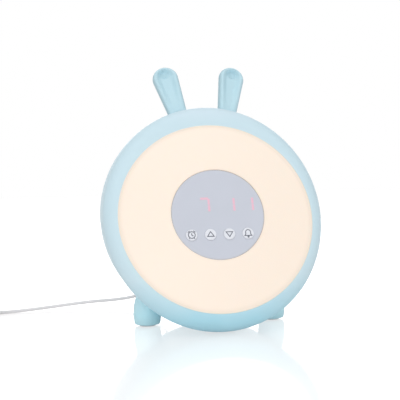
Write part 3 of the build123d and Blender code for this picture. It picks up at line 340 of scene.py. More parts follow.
class Graph:
    """The nodes of one material, or of the surround."""

    MIX_FIRST: ClassVar[int] = 6        # the Mix node's sockets for colours
    MIX_SECOND: ClassVar[int] = 7
    MIX_RESULT: ClassVar[int] = 2

    def __init__(self, owner: bpy.types.ID) -> None:
        """Empties the owner's node tree.

        Args:
            owner: a material, or the world.
        """
        owner.use_nodes = True
        self.owner = owner
        self.tree = owner.node_tree
        self.tree.nodes.clear()

    @classmethod
    def named(cls, name: str) -> "Graph":
        """Starts an empty material."""
        return cls(bpy.data.materials.new(name))

    def node(
        self, kind: str, settings: Optional[dict] = None, inputs: Optional[dict] = None, out: object = 0
    ) -> Optional[Value]:
        """Adds any node.

        Args:
            kind: the node's type.
            settings: its properties, set before its sockets.
            inputs: values or links of its sockets, by name or number.
            out: the output that is returned, by name or number, or None for none.

        Returns:
            That output.
        """
        made = self.tree.nodes.new(kind)
        for key, value in (settings or {}).items():
            if key == "stops":
                self._set_stops(made.color_ramp, value)
            else:
                setattr(made, key, value)
        for key, value in (inputs or {}).items():
            self.link(made.inputs[key], value)
        return None if out is None else Value(self, made.outputs[out])

    def link(self, socket: bpy.types.NodeSocket, value: object) -> None:
        """Sets a socket to a number or colour, or links it.

        Args:
            socket: the input.
            value: what it takes.
        """
        if isinstance(value, Value):
            self.tree.links.new(value.socket, socket)
        elif isinstance(value, (tuple, list)) and len(value) == 3 and len(socket.default_value) == 4:
            socket.default_value = (*value, 1.0)
        else:
            socket.default_value = value

    @staticmethod
    def _set_stops(ramp: bpy.types.ColorRamp, stops: Sequence[tuple[float, Colour]]) -> None:
        """Gives a ramp its stops.

        Args:
            ramp: a new ramp, which has two.
            stops: the place and colour of each.
        """
        for index, (place, colour) in enumerate(stops):
            stop = ramp.elements[index] if index < 2 else ramp.elements.new(place)
            stop.position = place
            stop.color = (*colour, 1.0)

    def place(self, centre: Point = (0.0, 0.0, 0.0), turn: Point = (0.0, 0.0, 0.0)) -> Value:
        """Object coordinates, in metres, measured from a centre and turned.

        Args:
            centre: where they are nought.
            turn: how far their axes are turned, in radians.

        Returns:
            The coordinates.
        """
        spot = self.node("ShaderNodeTexCoord", out="Object")
        if centre == (0.0, 0.0, 0.0) and turn == (0.0, 0.0, 0.0):
            return spot
        settings = {"vector_type": "TEXTURE"}
        return self.node("ShaderNodeMapping", settings, {0: spot, "Location": centre, "Rotation": turn})

    def axes(self, vector: Value) -> tuple[Value, Value, Value]:
        """A vector's three parts.

        Args:
            vector: the vector.

        Returns:
            Its x, y and z.
        """
        split = self.node("ShaderNodeSeparateXYZ", None, {0: vector})
        outputs = split.socket.node.outputs
        return tuple(Value(self, outputs[i]) for i in range(3))

    def face_place(self) -> Value:
        """Object coordinates from the face's middle, in metres: across it, up it and out of it."""
        return self.place(tuple(c * MM for c in FACE.origin), (np.pi / 2 - LEAN, 0.0, 0.0))

    def noise(self, vector: Value, size: float, detail: float = 2.0, rough: float = 0.5) -> Value:
        """Noise from 0 to 1 whose features are about size metres across."""
        inputs = {"Vector": vector, "Scale": 1.0 / size, "Detail": detail, "Roughness": rough}
        return self.node("ShaderNodeTexNoise", None, inputs)

    def mix(self, factor: object, first: object, second: object) -> Value:
        """A colour between two colours."""
        inputs = {0: factor, self.MIX_FIRST: first, self.MIX_SECOND: second}
        return self.node("ShaderNodeMix", {"data_type": "RGBA"}, inputs, out=self.MIX_RESULT)

    def bump(self, height: Value, depth: float) -> Value:
        """A normal bent by a height from 0 to 1 of that depth in metres."""
        return self.node("ShaderNodeBump", None, {"Height": height, "Distance": depth})

    def surface(self, **sockets: object) -> bpy.types.Material:
        """Ends the graph in a Principled shader, whose sockets are named with underscores for spaces."""
        inputs = {key.replace("_", " "): value for key, value in sockets.items()}
        return self.end(self.node("ShaderNodeBsdfPrincipled", None, inputs))

    def end(self, shader: Value, kind: str = "ShaderNodeOutputMaterial") -> bpy.types.ID:
        """Links a shader to the output, and returns the owner."""
        self.node(kind, None, {"Surface": shader}, out=None)
        return self.owner


def from_middle(x: Value, y: Value) -> Value:
    """How far a point lies from the middle.

    Args:
        x: its place across.
        y: its place up.

    Returns:
        The distance.
    """
    return (x * x + y * y) ** 0.5


def shade(colour: Colour, factor: float) -> Colour:
    """A lighter or darker colour of the same hue.

    Args:
        colour: the colour.
        factor: how much lighter; below one, darker.

    Returns:
        The new colour.
    """
    return tuple(min(1.0, c * factor) for c in colour)


def srgb(red: float, green: float, blue: float) -> Colour:
    """A display colour as linear light.

    Args:
        red: how much red it has, 0 to 255.
        green: how much green.
        blue: how much blue.

    Returns:
        The colour, 0 to 1.
    """
    share = np.array([red, green, blue]) / 255
    light = np.where(share <= 0.04045, share / 12.92, ((share + 0.055) / 1.055) ** 2.4)
    return tuple(light.tolist())


# ---------------------------------------------------------------- finishes


@dataclass(frozen=True)
class MouldedPlastic:
    """Moulded plastic with a fine spark grain, faint flow clouds and handling shine."""

    name: str
    colour: Colour
    roughness: float = 0.5
    cloud_size: float = 0.035
    cloud: float = 0.03             # how far the clouds lighten and darken the colour
    cloud_shine: float = 0.08       # how far they vary the roughness
    grain: float = 0.0005           # the grain's size
    grain_share: float = 0.1        # how much of its pits' tone shows
    grain_tone: float = 0.86
    grain_shine: float = 0.06
    depth: float = 0.00002          # the grain's depth
    specular: float = 0.4

    def material(self) -> bpy.types.Material:
        """Builds the finish.

        Returns:
            The material.
        """
        g = Graph.named(self.name)
        spot = g.place()
        cloud = g.noise(spot, self.cloud_size, 3.0, 0.55)
        grain = g.noise(spot, self.grain, 2.0, 0.6)
        colour = g.mix(cloud, shade(self.colour, 1 - self.cloud), shade(self.colour, 1 + self.cloud))
        return g.surface(
            Base_Color=g.mix(grain * self.grain_share, colour, shade(self.colour, self.grain_tone)),
            Roughness=self.roughness + cloud.swing(self.cloud_shine) + grain.swing(self.grain_shine),
            Specular_IOR_Level=self.specular,
            Normal=g.bump(grain, self.depth),
        )


@dataclass(frozen=True)
class CaseSkin(MouldedPlastic):
    """The case's soft-touch skin, with painted light by height: painted shade makes it deeper blue underneath
    and darker still by the table, and a painted sheen makes it paler on top.
    """

    cloud_size: float = 0.03
    cloud_shine: float = 0.1
    cloud_share: float = 0.16
    cloud_tone: float = 0.9
    cloud: float = 0.06             # how far the clouds shift the colours up and down
    grain_share: float = 0.14
    grain_tone: float = 0.82
    speck: float = 6.0              # a speck's size in grains
    speck_depth: float = 1.5        # its depth in the grain's
    speck_shine: float = 0.1
    # painted shade: the colour low down, deeper blue underneath
    deep: Colour = srgb(164, 215, 231)
    # painted sheen: the colour high up, paler on top
    pale: Colour = srgb(219, 232, 243)
    painted_table_shade: float = 0.84         # the painted shade's tone down on the table, as a share of the deep colour
    tall: float = 0.21

    def stops(self) -> Sequence[tuple[float, Colour]]:
        """The colours by height, painted shade low down and a painted sheen high up: nought on the table, one
        at the ears' tips.
        """
        foot = shade(self.deep, self.painted_table_shade)
        return (0.0, foot), (0.05, self.deep), (0.2, self.colour), (0.76, self.colour), (0.9, self.pale)

    def tint(self, g: Graph, colour: Value) -> Value:
        """What a piece of its own does to the colour: nothing here."""
        return colour

    def material(self) -> bpy.types.Material:
        """Builds the finish.

        Returns:
            The material.
        """
        g = Graph.named(self.name)
        spot = g.place()
        cloud = g.noise(spot, self.cloud_size, 3.0, 0.55)
        grain = g.noise(spot, self.grain, 2.0, 0.6)
        speck = g.noise(spot, self.grain * self.speck, 3.0, 0.65)
        level = g.axes(spot)[2] / self.tall + cloud.swing(self.cloud)
        # painted light by height: painted shade low down, painted sheen high up
        colour = g.node("ShaderNodeValToRGB", {"stops": self.stops()}, {0: level})
        colour = g.mix(cloud * self.cloud_share, colour, shade(self.colour, self.cloud_tone))
        colour = g.mix(grain * self.grain_share, colour, shade(self.colour, self.grain_tone))
        fine = g.bump(grain, self.depth)
        specks = {"Height": speck, "Distance": self.depth * self.speck_depth, "Normal": fine}
        return g.surface(
            Base_Color=self.tint(g, colour),
            Roughness=self.roughness + cloud.swing(self.cloud_shine) + speck.swing(self.speck_shine),
            Specular_IOR_Level=self.specular,
            Normal=g.node("ShaderNodeBump", None, specks),
        )


@dataclass(frozen=True)
class EarSkin(CaseSkin):
    """The same skin on an ear, with painted shade along its edge, deeper in tone there."""

    # the tone of the painted shade along the edge
    painted_edge_shade: float = 0.8

    def tint(self, g: Graph, colour: Value) -> Value:
        """Paints shade by the piece's own measure of how near its edge a point lies."""
        edge = g.node("ShaderNodeAttribute", {"attribute_name": Ear.PAINTED_SHADE_EDGE}, out="Fac")
        return g.mix(edge, colour, shade(self.colour, self.painted_edge_shade))


@dataclass(frozen=True)
class LitOpal:
    """Milky acrylic lit from behind by a ring of lamps, a little dimmer at both edges, with painted shade
    there.
    """

    name: str
    colour: Colour
    glow: Colour
    edge_glow: Colour
    strength: float = 1.0
    inner: float = 0.036                                # the ring's inner and outer radius
    outer: float = 0.0754
    inner_fade: tuple[float, float] = (0.001, 0.004)    # from the edge to a fade's middle, and its width
    outer_fade: tuple[float, float] = (0.0018, 0.006)
    inner_share: float = 0.3                            # how much of the outer fade the inner one has
    dimming: float = 0.8                                # how much of the edge's glow shows there
    cloud: float = 0.06                                 # how far the glow varies
    painted_shade_share: float = 0.5                             # how much of the painted shade at the edges shows in the acrylic
    painted_edge_shade: float = 0.94
    grain: float = 0.0004
    depth: float = 0.00001

    def edge(self, radius: Value) -> Value:
        """How near a point lies to the ring's edges.

        Args:
            radius: how far it lies from the middle, in metres.

        Returns:
            One at the outer edge, the inner one's share at that one, and nought between.
        """
        middle, width = self.outer_fade
        outer = radius.above(self.outer - middle, width)
        middle, width = self.inner_fade
        return outer + (1 - radius.above(self.inner + middle, width)) * self.inner_share

    def material(self) -> bpy.types.Material:
        """Builds the finish.

        Returns:
            The material.
        """
        g = Graph.named(self.name)
        spot = g.face_place()
        x, y, _ = g.axes(spot)
        edge = self.edge(from_middle(x, y))
        cloud = g.noise(spot, 0.05, 2.0, 0.5)
        grain = g.noise(spot, self.grain, 2.0, 0.6)
        return g.surface(
            # painted shade: the acrylic's colour is darker at both edges, where it meets the case and the panel
            Base_Color=g.mix(edge * self.painted_shade_share, self.colour, shade(self.colour, self.painted_edge_shade)),
            Roughness=0.42 + grain.swing(0.1),
            Specular_IOR_Level=0.35,
            Subsurface_Weight=0.15,
            Subsurface_Scale=0.003,
            Emission_Color=g.mix(edge * self.dimming + cloud.swing(self.cloud), self.glow, self.edge_glow),
            Emission_Strength=self.strength,
            Normal=g.bump(grain, self.depth),
        )


@dataclass(frozen=True)
class SmokedWindow:
    """A polished window over a pearly film in which the lit bars of the digits glow, with painted shade round
    its edge.
    """

    name: str
    colour: Colour
    painted_rim_shade: Colour
    lit: Colour
    painted_shade_radius: float = 0.0352                         # where the painted shade at the edge is half way in
    painted_shade_width: float = 0.0016
    middle: float = 0.004                               # half way through it, out of the face
    digits: tuple[float, ...] = (-0.0097, 0.0098, 0.0244)
    row: float = 0.0073
    side: float = 0.00325                               # from a digit's middle to its right-hand bars
    rise: float = 0.0026                                # from the row to the middles of the side bars
    upright: tuple[float, float] = (0.0009, 0.00245)    # half a side bar's width and height
    level: tuple[float, float] = (0.003, 0.0009)        # half the top bar's width and height
    soft: float = 0.0007                                # the width of a bar's soft edge
    front: float = 0.0002                               # the same, through the window
    dimmed: float = 0.5                                 # the film's own tone where a bar glows
    pearl: float = 0.025                                # how far the film's tone varies

    def bar(self, x: Value, y: Value, centre: tuple[float, float], half: tuple[float, float]) -> Value:
        """One inside a soft-edged bar, nought outside."""
        across, along = abs(x - centre[0]), abs(y - centre[1])
        return (1 - across.above(half[0], self.soft)) * (1 - along.above(half[1], self.soft))

    def bars(self, g: Graph, x: Value, y: Value) -> Value:
        """Where a bar glows: the two right-hand bars of each digit, and the top bar of the first.

        Args:
            g: the graph.
            x: the place across the face.
            y: the place up it.

        Returns:
            One inside a bar, nought outside.
        """
        found = self.bar(x, y, (self.digits[0], self.row + 2 * self.rise), self.level)
        for centre in self.digits:
            for rise in (-self.rise, self.rise):
                found = found + self.bar(x, y, (centre + self.side, self.row + rise), self.upright)
        return g.node("ShaderNodeMath", {"operation": "MINIMUM"}, {0: found, 1: 1.0})

    def material(self) -> bpy.types.Material:
        """Builds the finish.

        Returns:
            The material.
        """
        g = Graph.named(self.name)
        spot = g.face_place()
        x, y, z = g.axes(spot)
        # where the painted shade at the window's edge falls
        edge = from_middle(x, y).above(self.painted_shade_radius, self.painted_shade_width)
        glow = self.bars(g, x, y) * z.above(self.middle, self.front)
        pearl = g.noise(spot, 0.02, 3.0, 0.5)
        fine = g.noise(spot, 0.0006, 2.0, 0.6)
        colour = g.mix(pearl, shade(self.colour, 1 - self.pearl), shade(self.colour, 1 + self.pearl))
        # painted shade in a thin ring at the window's edge, where it meets the diffuser
        colour = g.mix(edge, colour, self.painted_rim_shade)
        return g.surface(
            Base_Color=g.mix(glow, colour, shade(self.colour, self.dimmed)),
            Roughness=0.2 + pearl.swing(0.06) + fine.swing(0.03),
            Emission_Color=g.mix(glow, (0.0, 0.0, 0.0), self.lit),
            Emission_Strength=1.0,
            Specular_IOR_Level=0.5,
            Coat_Weight=0.3 + pearl.swing(0.1),
            Coat_Roughness=0.08,
            Normal=g.bump(pearl, 0.00002),
        )


@dataclass(frozen=True)
class Lamp:
    """Lit resin, cloudy inside."""

    name: str
    colour: Colour
    glow: Colour
    strength: float
    cloud_tone: float = 0.9

    def material(self) -> bpy.types.Material:
        """Builds the finish.

        Returns:
            The material.
        """
        g = Graph.named(self.name)
        cloud = g.noise(g.place(), 0.002, 2.0, 0.5)
        return g.surface(
            Base_Color=self.colour,
            Roughness=0.3 + cloud * 0.1,
            Emission_Color=g.mix(cloud, shade(self.glow, self.cloud_tone), self.glow),
            Emission_Strength=self.strength,
        )


@dataclass(frozen=True)
class CircuitBoard:
    """Solder mask over copper tracks, with tinned pads showing through."""

    name: str
    mask: Colour
    track: Colour
    pitch: float = 0.0022
    tin: Colour = (0.75, 0.73, 0.68)
    wander: float = 0.01            # how far the tracks bend from straight lines
    pad_grid: float = 0.35          # pads to a pitch
    pad_radius: float = 0.16        # as a share of the pads' grid
    depth: float = 0.00004

    def material(self) -> bpy.types.Material:
        """Builds the finish.

        Returns:
            The material.
        """
        g = Graph.named(self.name)
        spot = g.place()
        warp = g.noise(spot, 0.012, 1.0, 0.4)
        x, _, z = g.axes(spot)
        route = x + z + warp * self.wander
        lines = g.node("ShaderNodeMath", {"operation": "PINGPONG"}, {0: route, 1: self.pitch / 2})
        track = (lines / self.pitch).above(0.3, 0.06) * warp.above(0.5, 0.02)
        grid = {"Vector": spot, "Scale": self.pad_grid / self.pitch}
        nearest = g.node("ShaderNodeTexVoronoi", {"feature": "F1"}, grid, out="Distance")
        pad = 1 - nearest.above(self.pad_radius, 0.03)
        return g.surface(
            Base_Color=g.mix(pad, g.mix(track, self.mask, self.track), self.tin),
            Metallic=pad * 0.9,
            Roughness=0.3 + pad * 0.1 + warp.swing(0.1),
            Coat_Weight=0.3 - pad * 0.3,
            Normal=g.bump(track * 0.6 + pad, self.depth),
        )


@dataclass(frozen=True)
class Metal:
    """Plated or bare metal with fine brushing and handling marks."""

    name: str
    colour: Colour
    roughness: float
    brush: Point = (1.0, 1.0, 0.06)     # the brushing's pattern is drawn out upwards
    brush_size: float = 0.0003
    brush_depth: float = 0.000008
    mark_size: float = 0.004
    mark_tone: float = 0.9

    def material(self) -> bpy.types.Material:
        """Builds the finish.

        Returns:
            The material.
        """
        g = Graph.named(self.name)
        spot = g.place()
        drawn = g.node("ShaderNodeVectorMath", {"operation": "MULTIPLY"}, {0: spot, 1: self.brush})
        brush = g.noise(drawn, self.brush_size, 3.0, 0.6)
        mark = g.noise(spot, self.mark_size, 3.0, 0.6)
        return g.surface(
            Base_Color=g.mix(mark, shade(self.colour, self.mark_tone), self.colour),
            Metallic=1.0,
            Roughness=self.roughness + brush.swing(0.15) + mark.swing(0.1),
            Normal=g.bump(brush, self.brush_depth),
        )


@dataclass(frozen=True)
class PressedPaper:
    """Black pulp pressed into a cone, with fibres and clouds."""

    name: str
    colour: Colour = (0.03, 0.03, 0.032)
    tones: tuple[float, float] = (0.5, 1.8)     # the darkest and the palest
    fibre: float = 0.0008
    depth: float = 0.00008

    def material(self) -> bpy.types.Material:
        """Builds the finish.

        Returns:
            The material.
        """
        g = Graph.named(self.name)
        spot = g.place()
        fibre = g.noise(spot, self.fibre, 6.0, 0.7)
        cloud = g.noise(spot, 0.006, 2.0, 0.5)
        dark, pale = (shade(self.colour, tone) for tone in self.tones)
        return g.surface(
            Base_Color=g.mix(fibre * 0.7 + cloud * 0.3, dark, pale),
            Roughness=0.8 + fibre.swing(0.2),
            Specular_IOR_Level=0.2,
            Normal=g.bump(fibre, self.depth),
        )


@dataclass(frozen=True)
class AcousticCloth:
    """Black cloth of plain weave: threads that pass over and under each other."""

    name: str
    colour: Colour = (0.05, 0.055, 0.06)
    tones: tuple[float, float] = (0.4, 1.7)     # the darkest and the palest
    thread: float = 0.00035
    depth: float = 0.0001

    def material(self) -> bpy.types.Material:
        """Builds the finish: the product of two sine waves, one across the cloth and one up it.

        Returns:
            The material.
        """
        g = Graph.named(self.name)
        spot = g.place()
        x, _, z = g.axes(spot)
        waves = []
        for axis in (x, z):
            waves.append(g.node("ShaderNodeMath", {"operation": "SINE"}, {0: axis * (np.pi / self.thread)}))
        weave = waves[0] * waves[1] * 0.5 + 0.5
        fuzz = g.noise(spot, self.thread / 2, 3.0, 0.7)
        dark, pale = (shade(self.colour, tone) for tone in self.tones)
        return g.surface(
            Base_Color=g.mix(weave * 0.8 + fuzz * 0.2, dark, pale),
            Roughness=0.85 + fuzz.swing(0.1),
            Specular_IOR_Level=0.2,
            Normal=g.bump(weave, self.depth),
        )


# ---------------------------------------------------------------- the studio


@dataclass(frozen=True)
class Softbox:
    """A square soft lamp: its place and target in metres, its side, and its power in watts."""

    name: str
    spot: Point
    target: Point
    side: float
    power: float

    def build(self) -> None:
        """Hangs the lamp so that it looks at its target."""
        data = bpy.data.lights.new(self.name, "AREA")
        data.size = self.side
        data.energy = self.power
        lamp = placed(self.name, data)
        back = Vector(self.spot) - Vector(self.target)
        lamp.rotation_euler = back.to_track_quat("Z", "Y").to_euler()
        lamp.location = self.spot


@dataclass
class Studio:
    """Camera, lamps, floor and a white surround."""

    turn: float = 10.4          # degrees that the camera stands to the clock's left
    rise: float = 1.36          # degrees that it looks down
    roll: float = 1.3           # degrees that it is turned about its line of sight
    reach: float = 610.3        # millimetres from the point that it looks at
    aim: tuple[float, float] = (-12.6, 12.45)       # that point, right of the face's middle and above it
    lens: float = 72.0
    sensor: float = 36.0
    clip: tuple[float, float] = (0.01, 50.0)
    floor_half: float = 6.0     # half the floor's side, in metres
    floor_matt: Colour = (0.3, 0.295, 0.295)
    floor_sheen: Colour = (1.0, 0.97, 0.96)
    floor_roughness: float = 0.08
    gloss: float = 0.4          # the floor's mirror share
    white: float = 0.57         # what it adds where it is seen
    bounce: float = 0.26        # what it adds to the light from below
    sky: Colour = (0.95, 0.98, 1.0)
    sky_strength: float = 0.5
    softboxes: Sequence[Softbox] = (
        Softbox("top_softbox", (-0.15, -0.25, 1.35), (0.0, 0.0, 0.08), 1.5, 6.5),
        Softbox("front_fill", (-0.3, -1.5, 0.35), (0.0, 0.0, 0.08), 1.2, 8.0),
        Softbox("left_fill", (-1.3, -0.7, 0.25), (0.0, 0.0, 0.05), 0.9, 1.2),
        Softbox("right_fill", (1.3, -0.7, 0.3), (0.0, 0.0, 0.05), 0.9, 1.2),
        Softbox("back_fill", (0.3, 1.5, 0.5), (0.0, 0.0, 0.08), 1.2, 6.0),
    )

    def camera(self) -> None:
        """Puts the camera at the viewing angle, rolled a little, and makes it the scene's own."""
        turn, rise, roll = (np.radians(a) for a in (self.turn, self.rise, self.roll))
        right = np.array([np.cos(turn), -np.sin(turn), 0.0])
        back = np.array([-np.sin(turn) * np.cos(rise), -np.cos(turn) * np.cos(rise), np.sin(rise)])
        up = np.cross(back, right)
        target = np.array(FACE.origin) + self.aim[0] * right + self.aim[1] * up
        spot = (target + self.reach * back) * MM
        across = np.cos(roll) * right - np.sin(roll) * up
        above = np.sin(roll) * right + np.cos(roll) * up
        matrix = np.eye(4)
        matrix[:3] = np.column_stack([across, above, back, spot])
        data = bpy.data.cameras.new("studio_camera")
        data.sensor_width = self.sensor
        data.lens = self.lens
        data.clip_start, data.clip_end = self.clip
        camera = placed("studio_camera", data)
        camera.matrix_world = Matrix(matrix.tolist())
        bpy.context.scene.camera = camera
        LOG.info("camera at %s", np.round(spot, 4))

    def surround(self) -> None:
        """White to the camera and in reflections, and a plain pale light on the clock."""
        world = bpy.data.worlds.new("studio_surround")
        bpy.context.scene.world = world
        g = Graph(world)
        white = g.node("ShaderNodeBackground", None, {"Color": (1.0, 1.0, 1.0), "Strength": 1.0})
        light = g.node("ShaderNodeBackground", None, {"Color": self.sky, "Strength": self.sky_strength})
        mixed = g.node("ShaderNodeMixShader", None, {0: self.seen(g), 1: light, 2: white})
        g.end(mixed, "ShaderNodeOutputWorld")

    @staticmethod
    def seen(g: Graph) -> Value:
        """One on rays from the camera, and on reflected and transmitted ones.

        Args:
            g: the graph.

        Returns:
            One or nought.
        """
        found = g.node("ShaderNodeLightPath", out="Is Camera Ray")
        for ray in ("Is Glossy Ray", "Is Transmission Ray"):
            other = g.node("ShaderNodeLightPath", out=ray)
            found = g.node("ShaderNodeMath", {"operation": "MAXIMUM"}, {0: found, 1: other})
        return found

    def floor(self) -> None:
        """A white gloss floor that keeps the clock's shadow and a faint reflection."""
        g = Graph.named("floor_white")
        diffuse = g.node("ShaderNodeBsdfDiffuse", None, {"Color": self.floor_matt})
        mirror = {"Color": self.floor_sheen, "Roughness": self.floor_roughness}
        sheen = g.node("ShaderNodeBsdfGlossy", None, mirror)
        lit = g.node("ShaderNodeMixShader", None, {0: self.gloss, 1: diffuse, 2: sheen})
        strength = self.seen(g) * (self.white - self.bounce) + self.bounce
        white = g.node("ShaderNodeEmission", None, {"Color": (1.0, 1.0, 1.0), "Strength": strength})
        g.end(g.node("ShaderNodeAddShader", None, {0: lit, 1: white}))
        s = self.floor_half
        mesh = bpy.data.meshes.new("studio_floor")
        mesh.from_pydata([(-s, -s, 0), (s, -s, 0), (s, s, 0), (-s, s, 0)], [], [(0, 1, 2, 3)])
        mesh.materials.append(g.owner)
        placed("studio_floor", mesh)

    def build(self) -> None:
        """Sets up everything round the clock."""
        self.camera()
        self.surround()
        for softbox in self.softboxes:
            softbox.build()
        self.floor()


# ---------------------------------------------------------------- supply cord


@dataclass
class SupplyCord:
    """The cord: from the plug behind the clock to the surface, and into a put-away coil with its plug."""

    radius: float = 1.5
    route: Sequence[Point] = (
        (-20.0, 72.5, 29.2), (-20.0, 91.0, 29.2), (-23.0, 107.0, 22.0), (-37.0, 116.5, 12.0),
        (-60.0, 119.5, 6.4), (-91.0, 119.8, 5.6), (-121.0, 117.5, 3.2), (-150.0, 112.0, 1.5),
        (-173.0, 106.0, 1.5),
    )
    end_route: Sequence[Point] = (
        (-213.0, 76.5, 10.5), (-213.6, 63.5, 8.0), (-213.6, 50.5, 4.0), (-213.6, 38.5, 4.0),
    )
    coil_centre: tuple[float, float] = (-193.0, 84.5)
    inner_turn: float = 14.0    # the innermost turn's radius
    pitch: float = 3.0          # from one turn to the next, outwards and upwards
    columns: int = 3
    rows: int = 4
    early: float = 0.75         # turns by which the coil ends early, on the side of its plug
    cross: float = 0.25         # the share of a turn in which the cord crosses to the next place
    steps: int = 16             # points to a turn
    length: float = 1500.0
    sides: int = 5              # the steps of the round section, as a curve counts them
    smooth: int = 6             # the steps between two points
    stands_for: Sequence[str] = ("power_cord", "power_cord_end", "cord_coil")
    carried: Sequence[str] = (
        "cord_strain_relief", "cord_plug", "cord_plug_barrel", "cord_tie", "usb_plug_body", "usb_plug_shell",
    )

    def coil(self) -> np.ndarray:
        """Turns that lie beside and on each other: one layer inwards, the next outwards, and so on up.

        The angle grows evenly, the radius moves by one pitch in each turn, and the height by one pitch where
        a layer ends.

        Returns:
            The turns' points in order, in millimetres.
        """
        count = int((self.columns * self.rows - self.early) * self.steps)
        turn = np.linspace(0.0, count / self.steps, count + 1)
        layer = np.minimum(turn // self.columns, self.rows - 1)
        within = turn - layer * self.columns
        whole = np.floor(within)
        crossed = soft_step((within - whole - (1 - self.cross)) / self.cross)
        column = np.clip(whole + crossed, 0, self.columns - 1)
        inward = layer % 2 == 0
        place = np.where(inward, self.columns - 1 - column, column)
        step_up = soft_step((within - self.columns + self.cross) / self.cross)
        height = self.radius + self.pitch * np.minimum(layer + step_up, self.rows - 1)
        ring = (self.inner_turn + self.pitch * place) / np.cos(np.pi / self.steps)
        angle = np.pi / 2 + 2 * np.pi * turn
        x, y = self.coil_centre
        return np.stack([x + ring * np.cos(angle), y + ring * np.sin(angle), height], -1)

    def curve(self) -> bpy.types.Object:
        """Makes the cord's one curve, through the route, the coil and the plug's end.

        Returns:
            The curve object.
        """
        points = np.vstack([np.array(self.route), self.coil(), np.array(self.end_route)]) * MM
        curve = bpy.data.curves.new("supply_cord", "CURVE")
        curve.dimensions = "3D"
        curve.bevel_depth = 1.0     # times each point's radius
        curve.bevel_resolution = self.sides
        curve.resolution_u = self.smooth
        curve.use_fill_caps = True
        spline = curve.splines.new("NURBS")
        spline.points.add(len(points) - 1)
        spline.points.foreach_set("co", np.hstack([points, np.ones((len(points), 1))]).ravel())
        spline.points.foreach_set("radius", np.full(len(points), self.radius * MM))
        spline.order_u = 3
        spline.use_endpoint_u = True
        return placed("supply_cord", curve)

    def build(self, material: bpy.types.Material) -> bpy.types.Object:
        """Makes the cord, lets it ride on the clock and gives it its finish.

        Args:
            material: its sheath's finish.

        Returns:
            The curve object.
        """
        piece = settle(self.curve(), Body.ROOT, material, self.stands_for)
        return piece


# ---------------------------------------------------------------- ears


